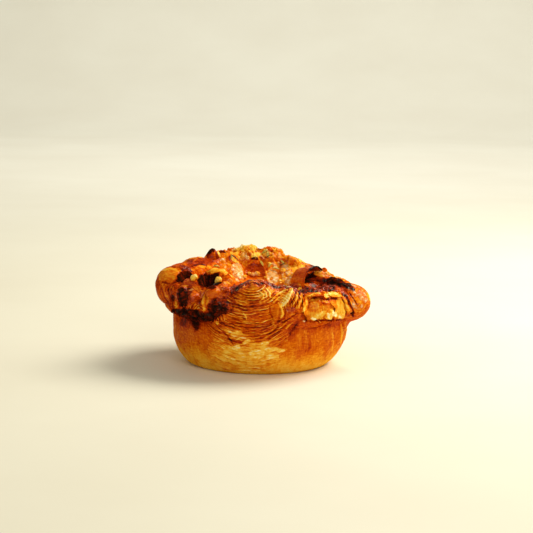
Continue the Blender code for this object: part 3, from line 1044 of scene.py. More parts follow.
def even_crust(points: Points, bake: Values, glaze: float, cream: Values | float = 0.0) -> Crust:
    """A crust without creases or strands.

    Args:
        points: Its points.
        bake: How baked it is.
        glaze: How glazed it is all over.
        cream: How creamy it is.

    Returns:
        The crust.
    """
    level = np.zeros(len(points))
    return Crust(bake, level, level + glaze, level + cream, no_flow(points))


def place_piece(piece: bpy.types.Object, finish: bpy.types.Material, node: str) -> None:
    """Gives a finished piece its material and its place in the frame.

    Args:
        piece: The piece, shaped and coloured.
        finish: Its material.
        node: The CAD node that it stands for.
    """
    settle(piece)
    piece.data.materials.clear()
    piece.data.materials.append(finish)
    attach(piece, BODY)
    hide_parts(node)
    log.info("%s: %d vertices", piece.name, len(piece.data.vertices))


# ---------------------------------------------------------------- finishes


class Nodes:
    """Adds and joins nodes in one tree."""

    def __init__(self, tree: bpy.types.NodeTree) -> None:
        """Starts with an empty tree."""
        self.tree = tree
        tree.nodes.clear()

    def add(self, kind: str, **settings: object) -> bpy.types.Node:
        """Adds a node.

        Args:
            kind: Its type, without the ShaderNode in front.
            settings: Its properties.

        Returns:
            The node.
        """
        node = self.tree.nodes.new(kind if kind.startswith("Node") else "ShaderNode" + kind)
        for name, value in settings.items():
            setattr(node, name, value)
        return node

    def join(self, source: bpy.types.NodeSocket, into: bpy.types.NodeSocket) -> None:
        """Links two sockets."""
        self.tree.links.new(source, into)

    def attribute(self, channel: Channel) -> bpy.types.NodeSocket:
        """One channel of the crust."""
        return self.add("Attribute", attribute_name=channel.value).outputs["Fac"]

    def math(self, kind: str, *values: object) -> bpy.types.NodeSocket:
        """One sum.

        Args:
            kind: The operation.
            values: Its sockets and numbers, in order.

        Returns:
            The result.
        """
        node = self.add("Math", operation=kind)
        for value, socket in zip(values, node.inputs):
            self.feed(value, socket)
        return node.outputs[0]

    def feed(self, value: object, socket: bpy.types.NodeSocket) -> None:
        """Links or sets a socket.

        Args:
            value: A socket, a number or a colour.
            socket: What takes it.
        """
        if isinstance(value, bpy.types.NodeSocket):
            self.join(value, socket)
        else:
            socket.default_value = (*linear(value), 1) if isinstance(value, tuple) else value

    def span(self, value: bpy.types.NodeSocket, low: float, high: float) -> bpy.types.NodeSocket:
        """Rises smoothly from 0 at low to 1 at high.

        Args:
            value: What is eased.
            low: Where the result is 0.
            high: Where the result is 1.

        Returns:
            The result.
        """
        node = self.add("MapRange", interpolation_type="SMOOTHSTEP")
        self.join(value, node.inputs["Value"])
        node.inputs["From Min"].default_value, node.inputs["From Max"].default_value = low, high
        return node.outputs[0]

    def noise(self, place: bpy.types.NodeSocket, **settings: object) -> bpy.types.NodeSocket:
        """Noise at a place.

        Args:
            place: Where it is read.
            settings: Its inputs by their names, in lower case.

        Returns:
            Its value.
        """
        node = self.add("TexNoise", noise_dimensions=settings.pop("dimensions", "3D"))
        for name, value in settings.items():
            self.feed(value, node.inputs[name.capitalize()])
        self.join(place, node.inputs["Vector"])
        return node.outputs["Fac"]

    def streaks(self, flow: bpy.types.Node, across: object, along: object) -> bpy.types.NodeSocket:
        """Noise drawn out along a crust's layers.

        Args:
            flow: The strands' own count across, length along and strength.
            across: How fine it is across them.
            along: How fine it is along them.

        Returns:
            Its value.
        """
        place = self.add("CombineXYZ")
        self.join(self.math("MULTIPLY", flow.outputs[0], across), place.inputs[0])
        self.join(self.math("MULTIPLY", flow.outputs[1], along), place.inputs[1])
        return self.noise(place.outputs[0], dimensions="2D", scale=1, detail=2.5, roughness=0.60)

    def ramp(self, value: bpy.types.NodeSocket, stops: tuple) -> bpy.types.NodeSocket:
        """Colours along a value.

        Args:
            value: The value.
            stops: Pairs of a position and a colour.

        Returns:
            The colour.
        """
        node = self.add("ValToRGB")
        ramp = node.color_ramp
        while len(ramp.elements) < len(stops):
            ramp.elements.new(0.5)
        for element, (position, colour) in zip(ramp.elements, stops):
            element.position = position
            element.color = (*linear(colour), 1)
        self.join(value, node.inputs[0])
        return node.outputs[0]

    def blend(self, kind: str, share: object, first: object, second: object) -> bpy.types.NodeSocket:
        """Mixes two colours.

        Args:
            kind: The blend type.
            share: How much of the second, a socket or a number.
            first: A socket or a colour.
            second: A socket or a colour.

        Returns:
            The colour.
        """
        node = self.add("Mix", data_type="RGBA", blend_type=kind)
        for value, socket in zip((share, first, second), (node.inputs[0], node.inputs[6], node.inputs[7])):
            self.feed(value, socket)
        return node.outputs[2]


def linear(colour: tuple[int, int, int]) -> tuple[float, ...]:
    """A screen colour, 0 to 255, as the light that it stands for."""
    return tuple((c / 255 / 12.92) if c < 11 else ((c / 255 + 0.055) / 1.055) ** 2.4 for c in colour)


BAKE_STOPS = (
    (0.00, (255, 240, 184)),
    (0.18, (250, 201, 78)),
    (0.36, (240, 163, 36)),
    (0.50, (218, 108, 9)),
    (0.64, (188, 64, 2)),
    (0.76, (130, 29, 2)),
    (0.88, (58, 18, 6)),
    (1.00, (20, 12, 8)),
)
CREAM_STOPS = (
    (0.20, (214, 142, 76)),
    (0.52, (236, 188, 122)),
    (0.82, (253, 236, 198)),
)

SPECKLE_BAKE = 0.22  # how far the speckle moves the bake
CREASE_SHADE_AND_BROWNING = 0.12  # how much darker the creases are: painted shade, and browner crust
CREASE_RED = 0.30  # how much of their own dark red they take: painted shade, and redder crust
# the creases' dark red, painted shade and redder crust in one
CREASE_COLOUR = (140, 50, 16)
STRAND_PALE = 0.40  # how much the strands' painted highlights and painted shade, with their streaks, move the bake
LIT_EDGE_SHIFT = 0.24  # where in a layer its painted highlight lies, on the edge that catches the light
LIT_EDGE_SHOW = 0.86  # how much the painted highlights on the edges, the painted shade in the creases and the fuzz show in a strand
CREASE_SHADE_SHOW = 0.30
FUZZ_SHOW = 0.55
FLAKE_SQUEEZE = (1, 1, 3.5)  # makes flakes wider than they are tall


def new_group(name: str, inputs: tuple[str, ...], outputs: tuple[str, ...], kind: str) -> bpy.types.NodeTree:
    """A shader node group.

    Args:
        name: Its name.
        inputs: The names of its value inputs.
        outputs: The names of its outputs.
        kind: The outputs' socket type.

    Returns:
        The group's tree.
    """
    tree = bpy.data.node_groups.new(name, "ShaderNodeTree")
    for each in inputs:
        tree.interface.new_socket(each, in_out="INPUT", socket_type="NodeSocketFloat")
    for each in outputs:
        tree.interface.new_socket(each, in_out="OUTPUT", socket_type=kind)
    return tree


def bake_group() -> bpy.types.NodeTree:
    """The group that turns the channels of a crust into its colour, with painted shade and browner crust in
    its creases.

    Returns:
        The group's tree.
    """
    inputs = ("Bake", "Crease", "Cream", "Speckle", "Strand")
    tree = new_group("crust_colour", inputs, ("Color",), "NodeSocketColor")
    nodes = Nodes(tree)
    given = nodes.add("NodeGroupInput").outputs
    speckled = nodes.math("MULTIPLY_ADD", given["Speckle"], SPECKLE_BAKE, -SPECKLE_BAKE / 2)
    bake = nodes.math("ADD", given["Bake"], speckled)
    # the creases are darkened: painted shade, with browner crust
    bake = nodes.math("ADD", bake, nodes.math("MULTIPLY", given["Crease"], CREASE_SHADE_AND_BROWNING))
    bake = nodes.math("SUBTRACT", bake, nodes.math("MULTIPLY", given["Strand"], STRAND_PALE))
    baked, creamy = nodes.ramp(bake, BAKE_STOPS), nodes.ramp(given["Speckle"], CREAM_STOPS)
    colour = nodes.blend("MIX", given["Cream"], baked, creamy)
    # and take on a dark red: painted shade, with redder crust
    crease_shade_and_red = nodes.math("MULTIPLY", given["Crease"], CREASE_RED)
    colour = nodes.blend("MULTIPLY", crease_shade_and_red, colour, CREASE_COLOUR)
    nodes.join(colour, nodes.add("NodeGroupOutput").inputs[0])
    return tree


def strand_group() -> bpy.types.NodeTree:
    """The group that draws the edges of a crust's layers: painted highlights on their edges and painted shade
    in their creases, with fuzzy streaks.

    Returns:
        The group's tree, which puts out from about -0.5 in the shaded creases to 0.8 on the highlighted
        edges.
    """
    tree = new_group("fine_strands", ("Across", "Along"), ("Strand",), "NodeSocketFloat")
    nodes = Nodes(tree)
    given = nodes.add("NodeGroupInput").outputs
    flow = nodes.add("SeparateXYZ")
    nodes.join(nodes.add("Attribute", attribute_name=Channel.FLOW.value).outputs["Vector"], flow.inputs[0])
    fuzz = nodes.span(nodes.streaks(flow, given["Across"], given["Along"]), 0.35, 0.65)
    # painted shade in the crease between layers
    crease = nodes.span(nodes.math("PINGPONG", flow.outputs[0], 0.5), 0.19, 0.03)
    crease = nodes.math("MULTIPLY", crease, nodes.span(nodes.streaks(flow, 0.9, 0.20), 0.40, 0.56))
    # a painted highlight along each layer's lit edge
    shifted = nodes.math("ADD", flow.outputs[0], LIT_EDGE_SHIFT)
    edge = nodes.span(nodes.math("PINGPONG", shifted, 0.5), 0.15, 0.02)
    edge = nodes.math("MULTIPLY", edge, nodes.span(nodes.streaks(flow, -0.8, 0.16), 0.42, 0.60))
    painted_highlight, dark = nodes.math("MULTIPLY", edge, LIT_EDGE_SHOW), nodes.math("MULTIPLY", crease, CREASE_SHADE_SHOW)
    strand = nodes.math("SUBTRACT", painted_highlight, dark)
    fuzz = nodes.math("MULTIPLY", nodes.math("SUBTRACT", fuzz, 0.40), FUZZ_SHOW)
    shown = nodes.math("MULTIPLY", nodes.math("ADD", strand, fuzz), flow.outputs[2])
    nodes.join(shown, nodes.add("NodeGroupOutput").inputs[0])
    return tree


def grain_group() -> bpy.types.NodeTree:
    """The group that gives fine crumb and flake, as a height and as a speckle, and small blisters.

    Returns:
        The group's tree.
    """
    inputs, outputs = ("Crumb Scale", "Flake Scale", "Blister Scale"), ("Height", "Speckle", "Blister")
    tree = new_group("fine_crumb", inputs, outputs, "NodeSocketFloat")
    nodes = Nodes(tree)
    given = nodes.add("NodeGroupInput").outputs
    place = nodes.add("TexCoord").outputs["Object"]
    crumb = nodes.noise(place, detail=6, roughness=0.62, scale=given["Crumb Scale"])
    squeeze = nodes.add("Mapping")
    squeeze.inputs["Scale"].default_value = FLAKE_SQUEEZE
    nodes.join(place, squeeze.inputs["Vector"])
    flake = nodes.noise(squeeze.outputs[0], detail=4, distortion=0.6, scale=given["Flake Scale"])
    height = nodes.math("ADD", crumb, flake)
    contrast = nodes.math("MULTIPLY_ADD", nodes.math("MULTIPLY", height, 0.5), 3.0, -1.0)
    contrast.node.use_clamp = True
    blister = nodes.add("TexVoronoi", feature="SMOOTH_F1")
    blister.inputs["Smoothness"].default_value = 0.25
    nodes.join(place, blister.inputs["Vector"])
    nodes.join(given["Blister Scale"], blister.inputs["Scale"])
    rounded = nodes.math("SUBTRACT", 0.8, blister.outputs["Distance"])
    out = nodes.add("NodeGroupOutput")
    for made, socket in zip((height, contrast, rounded), out.inputs):
        nodes.join(made, socket)
    return tree


@dataclass(frozen=True)
class CrustFinish:
    """Baked, glazed crust, coloured by its channels."""

    name: str
    crumb_scale: float = 900
    flake_scale: float = 420
    blister_scale: float = 620
    bump: float = 0.55
    bump_depth: float = 0.00030
    rough_dull: float = 0.66
    rough_glossy: float = 0.34
    shine: float = 0.0
    coat_most: float = 0.72
    coat_roughness: float = 0.08
    coat_ior: float = 1.36
    soft: float = 0.05
    soft_radius: tuple[float, float, float] = (1.0, 0.45, 0.15)
    soft_scale: float = 0.0012
    strands_across: float = 2.2
    strands_along: float = 0.17
    strand_height: float = 1.6
    blister_height: float = 2.2
    blistered: tuple[float, float] = (0.45, 0.9)

    def make(
        self, colours: bpy.types.NodeTree, grain: bpy.types.NodeTree, strands: bpy.types.NodeTree
    ) -> bpy.types.Material:
        """Builds the material.

        Args:
            colours: The group that colours a crust.
            grain: The group that gives its fine crumb.
            strands: The group that gives the strands along its layers.

        Returns:
            The material.
        """
        material = bpy.data.materials.new(self.name)
        material.use_nodes = True
        nodes = Nodes(material.node_tree)
        fine = nodes.add("Group", node_tree=grain)
        fine.inputs["Crumb Scale"].default_value = self.crumb_scale
        fine.inputs["Flake Scale"].default_value = self.flake_scale
        fine.inputs["Blister Scale"].default_value = self.blister_scale
        colour = nodes.add("Group", node_tree=colours)
        for channel, socket in ((Channel.BAKE, "Bake"), (Channel.CREASE, "Crease"), (Channel.CREAM, "Cream")):
            nodes.join(nodes.attribute(channel), colour.inputs[socket])
        nodes.join(fine.outputs["Speckle"], colour.inputs["Speckle"])
        strand = nodes.add("Group", node_tree=strands)
        strand.inputs["Across"].default_value = self.strands_across
        strand.inputs["Along"].default_value = self.strands_along
        nodes.join(strand.outputs[0], colour.inputs["Strand"])
        raised_strand = nodes.math("MULTIPLY", strand.outputs[0], self.strand_height)
        height = nodes.math("ADD", fine.outputs["Height"], raised_strand)
        glaze = nodes.attribute(Channel.GLAZE)
        blisters = nodes.math("MULTIPLY", nodes.span(glaze, *self.blistered), self.blister_height)
        height = nodes.math("ADD", height, nodes.math("MULTIPLY", blisters, fine.outputs["Blister"]))
        bump = nodes.add("Bump")
        bump.inputs["Strength"].default_value = self.bump
        bump.inputs["Distance"].default_value = self.bump_depth
        nodes.join(height, bump.inputs["Height"])
        shader = nodes.add("BsdfPrincipled")
        nodes.join(colour.outputs[0], shader.inputs["Base Color"])
        rough = nodes.math("MULTIPLY_ADD", glaze, self.rough_glossy - self.rough_dull, self.rough_dull)
        nodes.join(rough, shader.inputs["Roughness"])
        nodes.join(nodes.math("MULTIPLY", glaze, self.coat_most), shader.inputs["Coat Weight"])
        nodes.join(bump.outputs[0], shader.inputs["Normal"])
        shader.inputs["Coat Roughness"].default_value = self.coat_roughness
        shader.inputs["Coat IOR"].default_value = self.coat_ior
        shader.inputs["Specular IOR Level"].default_value = self.shine
        shader.inputs["Subsurface Weight"].default_value = self.soft
        shader.inputs["Subsurface Radius"].default_value = self.soft_radius
        shader.inputs["Subsurface Scale"].default_value = self.soft_scale
        out = nodes.add("OutputMaterial")
        nodes.join(shader.outputs[0], out.inputs[0])
        return material


@dataclass(frozen=True)
class PlainFinish:
    """A finish of two colours, mixed by noise, with a fine bump."""

    name: str
    dark: tuple[int, int, int]
    light: tuple[int, int, int]
    scale: float
    roughness: float
    bump: float = 0.4
    bump_depth: float = 0.0001
    ends: tuple[float, float] = (0.32, 0.68)

    def make(self) -> bpy.types.Material:
        """Builds the material.

        Returns:
            The material.
        """
        material = bpy.data.materials.new(self.name)
        material.use_nodes = True
        nodes = Nodes(material.node_tree)
        noise = nodes.noise(nodes.add("TexCoord").outputs["Object"], scale=self.scale, detail=5)
        bump = nodes.add("Bump")
        bump.inputs["Strength"].default_value = self.bump
        bump.inputs["Distance"].default_value = self.bump_depth
        nodes.join(noise, bump.inputs["Height"])
        shader = nodes.add("BsdfPrincipled")
        shader.inputs["Roughness"].default_value = self.roughness
        colour = nodes.ramp(noise, tuple(zip(self.ends, (self.dark, self.light))))
        nodes.join(colour, shader.inputs["Base Color"])
        nodes.join(bump.outputs[0], shader.inputs["Normal"])
        nodes.join(shader.outputs[0], nodes.add("OutputMaterial").inputs[0])
        return material


class Finishes:
    """Every finish, made once."""

    def __init__(self) -> None:
        """Builds the shared groups and the materials."""
        shared = (bake_group(), grain_group(), strand_group())
        self.crust = CrustFinish("baked_crust").make(*shared)
        self.filling = CrustFinish(
            "baked_cheese", crumb_scale=800, flake_scale=330, bump=0.5, rough_dull=0.5, rough_glossy=0.25,
            coat_most=0.50, coat_roughness=0.09, soft=0.10,
        ).make(*shared)
        self.herb = PlainFinish("dried_herb", (150, 122, 10), (226, 194, 66), 700, 0.6).make()
        self.twig = PlainFinish("herb_stalk", (52, 40, 12), (104, 88, 30), 800, 0.7).make()
        self.floor = PlainFinish("pale_table", (231, 228, 219), (236, 234, 226), 6, 0.7).make()


# ---------------------------------------------------------------- the layers, the tones and the marks


FRONT_WHORL = Whorl(270, -0.0048, 0.0424, 0.00122, 0.70, 0.006, 0.36)
SMALL_WHORL = Whorl(270, 0.0099, 0.0300, 0.00115, 1.0, 0.006)
BACK_WHORLS = (
    Whorl(56, 0.0, 0.0380, 0.00125, 0.9, 0.008, 0.25),
    Whorl(133, 0.001, 0.0400, 0.00125, 0.9, 0.008, 0.25),
)
SLIVERS = Slivers()

# where the front is browner, paler, glazed, bubbly, calm and burnt; some browner and burnt marks are painted
# shade, and one paler mark painted highlights
BROWNED_AND_SHADED = (
    Mark(-38.0, 33.0, 4.0, 5.0, 10, 0.12),
    Mark(-20.5, 29.5, 6.5, 4.5, -6, 0.12),
    Mark(-33.0, 20.5, 8.5, 4.0, 0, 0.12),
    Mark(23.0, 38.6, 9.0, 2.2, 4, 0.10, 1.2),
    Mark(36.5, 37.5, 4.0, 3.0, -20, 0.14, 1.4),
    Mark(42.5, 33.5, 2.2, 4.0, 20, 0.14, 1.2),
    # the left edge of the left lobe, darker: a painted shade on the side away from the light
    Mark(-53.0, 39.4, 1.6, 5.5, 0, 0.10),
    Mark(-28.0, 46.0, 13.0, 2.6, -8, 0.10, 1.3),
    # a painted shade on the top of the wall, under the overhang of the flakes
    Mark(29.0, 18.8, 11.0, 2.0, 0, 0.10),
    Mark(27.0, 13.0, 9.0, 4.0, 0, -0.05),
    Mark(17.0, 16.0, 2.2, 6.0, -22, 0.10),
    Mark(-40.5, 22.5, 3.0, 4.5, 0, 0.09),
    Mark(-44.0, 36.0, 1.0, 6.0, -14, 0.08),
    Mark(-8.0, 30.6, 7.5, 4.6, 0, 0.11),
)
PALED_AND_LIT = (
    Mark(-43.4, 28.8, 1.3, 2.0, 0, 0.18),
    # paler stripes on the right of the front swirl: painted highlights on its strands
    Mark(2.4, 35.8, 3.6, 3.8, 0, 0.20, 2.4),
    Mark(11.0, 33.4, 2.6, 3.0, 0, 0.14),
    Mark(10.0, 26.0, 1.6, 3.0, 0, 0.08),
    Mark(28.5, 29.0, 5.5, 5.0, 0, 0.10),
    Mark(-12.0, 13.8, 5.0, 1.5, -16, 0.16),
    Mark(-17.0, 15.8, 3.0, 1.4, -22, 0.12),
    Mark(-2.0, 7.4, 8.0, 1.8, -8, 0.06),
    Mark(3.0, 2.5, 10.0, 2.5, 6, 0.05),
)
GLAZED = (
    Mark(-37.0, 33.5, 6.5, 5.0, 0, 0.70),
    Mark(-20.7, 30.0, 6.5, 5.5, 0, 0.70),
    Mark(-24.5, 35.6, 4.5, 3.5, 0, 0.30),
    Mark(24.0, 37.0, 9.0, 3.0, 0, 0.60),
    Mark(15.2, 26.4, 3.0, 1.2, 0, 0.80),
    Mark(26.5, 31.8, 3.5, 1.4, 0, 0.50),
)
BUBBLED = (
    Mark(-38.4, 33.4, 3.6, 4.6, 12, 1.0),
    Mark(-20.7, 29.0, 6.2, 4.2, -6, 1.0),
    Mark(-16.4, 35.4, 3.2, 3.4, 0, 0.8),
    Mark(26.0, 37.5, 10.0, 2.6, 0, 0.8),
    Mark(-33.0, 24.6, 11.0, 2.4, -4, 0.7),
    Mark(33.0, 42.5, 5.0, 3.0, -10, 0.9),
    Mark(15.5, 25.0, 4.0, 3.0, 0, 0.7),
    Mark(-12.3, 7.0, 2.4, 1.6, 0, 0.5),
    Mark(-2.8, 3.9, 4.4, 2.4, 4, 0.5),
)
CALMED = (
    Mark(-24.2, 35.6, 3.8, 3.0, 0, 1.0),
    Mark(-46.0, 43.4, 4.0, 3.2, -12, 0.9),
    Mark(8.4, 26.5, 2.6, 4.2, -12, 0.9),
    Mark(40.8, 27.0, 1.6, 5.5, 0, 0.8),
    Mark(-28.4, 51.6, 5.0, 3.2, 10, 0.8),
    Mark(50.0, 31.0, 5.0, 7.0, 0, 0.45),
)
BURNT_AND_SHADED = (
    Mark(-39.6, 32.4, 2.8, 5.4, 6, 1.40),
    Mark(-37.5, 35.8, 2.6, 1.4, 20, 0.45),
    # the cave, painted black: a painted shade in it
    Mark(-25.6, 41.4, 4.4, 3.9, 0, 1.50),
    Mark(-20.9, 26.8, 5.6, 2.8, -4, 1.50),
    Mark(-22.5, 31.0, 2.0, 2.2, 0, 0.50),
    Mark(-12.8, 35.8, 1.4, 1.4, 0, 0.25),
    # the hollow under the curled flap, painted black: a painted shade in it
    Mark(24.8, 43.0, 3.6, 2.8, -10, 1.2),
    Mark(38.5, 40.6, 5.0, 1.6, -22, 0.6),
)
# on the cut face
LOW_TONES = (
    Tone(((-13.8, 13.9), (-10.5, 14.7)), 1.4, 0.32, calm=0.4, mottle=1.6),
    Tone(((-13.5, 7.0), (-11.2, 7.5)), 1.1, 0.17, calm=0.8, lift=0.3),
    Tone(((-4.8, 4.1), (-2.3, 5.2), (0.8, 4.4)), 1.2, 0.2, calm=0.7, lift=0.3),
    Tone(((3.8, 5.9), (7.4, 6.4), (11.5, 5.2)), 1.1, 0.24, calm=0.5, mottle=1.5, lift=0.2),
    Tone(((3.8, 2.3), (9.9, 2.8)), 0.9, 0.22, calm=0.5, mottle=1.5),
    Tone(((14.0, 4.9), (15.0, 2.8)), 1.1, 0.22, calm=0.5, lift=0.2),
    Tone(((-8.4, 9.5), (-5.9, 10.6)), 0.82, 0.2, calm=0.5),
    Tone(((0.8, 8.8), (3.8, 9.5)), 0.71, 0.2, calm=0.5),
    Tone(((-22.4, 21.7), (-20.9, 20.4)), 1.02, 0.34, calm=0.6, lift=0.2),
)
TONES = (
    # the cave, and the hollow beside the lobe on the left, both painted dark as painted shade inside them
    Tone(((-29.3, 42.0), (-25.8, 41.5), (-22.7, 42.5)), 3.16, 0.98, calm=1.0, mottle=0.3, gloss=0.0),
    Tone(((-41.6, 43.6), (-37.7, 42.3)), 2.24, 0.88, calm=0.7, gloss=0.0, bubbles=0.6, mottle=0.6),
    # the smooth lobe on the left, the dark crust beside it and the arch over the cave
    Tone(((-49.7, 44.1), (-46.2, 45.9), (-43.9, 45.1)),
         2.55, 0.47, calm=1.0, mottle=0.9, gloss=0.25, lift=0.25),
    Tone(((-39.5, 48.7), (-36.5, 47.2)), 1.84, 0.72, bubbles=0.8, gloss=0.5),
    Tone(((-32.4, 48.5), (-29.3, 47.9), (-27.3, 46.7)), 1.02, 0.45, bubbles=0.6),
    Tone(((-34.9, 47.2), (-32.9, 48.0), (-30.9, 46.9)), 0.51, 0.4, lift=0.3),
    Tone(((-37.5, 41.0), (-33.9, 40.0)), 1.63, 0.62, gloss=0.7, bubbles=0.4),
    Tone(((-25.8, 46.0), (-23.5, 47.0), (-20.4, 47.0), (-17.9, 45.4)), 1.12, 0.24, bubbles=0.9, lift=0.3),
    Tone(((-20.1, 44.1), (-18.6, 42.0)), 1.22, 0.56, bubbles=0.6, cream=0.25),
    Tone(((-17.3, 40.2), (-15.6, 41.2)), 1.73, 0.44, bubbles=0.7, cream=0.35),
    # its cream flecks are painted glints, beside real gloss
    Tone(((-19.9, 38.1), (-18.6, 37.6)), 0.92, 0.6, bubbles=0.9, gloss=0.9, cream=0.4),
    Tone(((-26.0, 35.6), (-22.9, 35.6)), 2.35, 0.57, calm=1.0, mottle=0.5, gloss=0.45, lift=0.5),
    # the pale rim along the top of the dome: a painted highlight
    Tone(((-27.3, 37.0), (-24.5, 37.9), (-21.7, 37.1)), 0.36, 0.4, calm=1.0),
    Tone(((-29.0, 32.7), (-28.3, 29.6), (-27.8, 26.0)), 1.22, 0.44, calm=0.6, mottle=1.4, lift=0.3),
    Tone(((-34.7, 32.7), (-31.9, 31.2)), 1.94, 0.6, bubbles=0.6, gloss=0.8),
    # a small cream spot: a painted highlight on the char, with real gloss
    Tone(((-36.2, 36.6), (-34.7, 37.1)), 0.46, 0.42, cream=0.6, gloss=0.9),
    # the dark red crest
    Tone(((-14.0, 36.9), (-10.5, 39.5), (-5.4, 41.2), (0.8, 41.3), (5.9, 40.4), (11.0, 39.0)),
         1.9, 0.73, bubbles=1.0, gloss=0.9, cream=0.16, calm=0.8),
    Tone(((11.0, 39.2), (16.1, 38.9), (19.8, 38.7)), 1.5, 0.7, bubbles=1.0, gloss=0.9, cream=0.24),
    Tone(((20.1, 37.2), (26.3, 37.7), (32.4, 38.5), (38.0, 37.6)),
         2.0, 0.73, bubbles=0.8, gloss=0.8, cream=0.16),
    Tone(((19.9, 39.5), (22.2, 40.0), (24.5, 39.4)), 0.71, 0.38, calm=1.0, gloss=0.4, lift=0.4),
    Tone(((-9.9, 40.0), (-6.9, 41.5), (-3.3, 42.0)), 0.41, 0.86, calm=1.0),
    Tone(((-5.4, 40.4), (-1.8, 41.2), (1.3, 41.0)), 0.36, 0.46, calm=1.0, gloss=0.6, lift=0.3),
    # the crust and the lobe on the right
    Tone(((31.4, 46.1), (36.5, 44.6), (41.6, 42.3)), 1.43, 0.42, bubbles=0.9, cream=0.4),
    Tone(((28.8, 45.6), (31.9, 44.3)), 1.73, 0.36, bubbles=1.0, cream=0.45),
    Tone(((29.8, 42.3), (33.9, 41.5)), 1.33, 0.78, bubbles=0.8, gloss=0.5),
    Tone(((46.7, 38.4), (50.7, 35.3), (53.8, 32.7)), 3.1, 0.54, calm=0.2, mottle=2.0, cream=0.42),
    Tone(((47.5, 31.7), (50.5, 28.0)), 2.9, 0.49, calm=0.2, mottle=2.0, cream=0.42),
    # the right lobe's pale right edge: a painted highlight on the side that faces the light
    Tone(((55.6, 35.8), (56.4, 31.7)), 0.71, 0.32, calm=0.8),
    Tone(((42.6, 40.7), (45.1, 39.4)), 0.71, 0.6, calm=0.5),
    Tone(((15.6, 36.3), (14.3, 33.8), (13.1, 31.2), (11.7, 29.4)),
         1.12, 0.27, calm=0.1, mottle=1.6, gloss=0.5),
    # under the curled flap, painted dark: a painted shade
    Tone(((22.9, 41.5), (25.0, 43.3), (27.3, 44.6)), 1.63, 0.9, calm=1.0, gloss=0.1),
    # the band of wall under the flakes' overhang, darker: a painted shadow
    Tone(((20.7, 18.8), (29.3, 18.3), (37.5, 18.8), (42.1, 19.6)), 1.63, 0.62, calm=1.0, mottle=0.5),
    Tone(((39.5, 38.4), (43.1, 35.8), (44.6, 32.7)),
         1.73, 0.66, calm=0.5, gloss=0.4, mottle=1.4, bubbles=0.4),
    # the flakes on the right
    Tone(((28.3, 30.2), (28.3, 26.0)), 2.24, 0.46, calm=0.5, mottle=1.6),
    Tone(((34.7, 30.2), (34.7, 27.6)), 2.35, 0.47, calm=0.9, mottle=0.8, gloss=0.4),
    Tone(((39.3, 32.2), (39.9, 28.1), (39.8, 24.0)), 1.63, 0.3, calm=0.6, mottle=1.2),
    Tone(((26.8, 22.4), (29.3, 24.0), (31.9, 25.3)), 1.0, 0.3, calm=0.6, mottle=1.2, lift=0.3),
    Tone(((34.9, 23.2), (36.5, 24.7)), 1.43, 0.24, calm=0.6, mottle=1.6, lift=0.2),
    Tone(((33.4, 34.0), (36.0, 34.8), (38.5, 34.1)), 1.17, 0.24, calm=0.8, mottle=1.4),
    # the dark gap under the top flake: a painted shadow
    Tone(((34.2, 32.0), (38.2, 31.8)), 0.46, 0.7, calm=0.9),
)
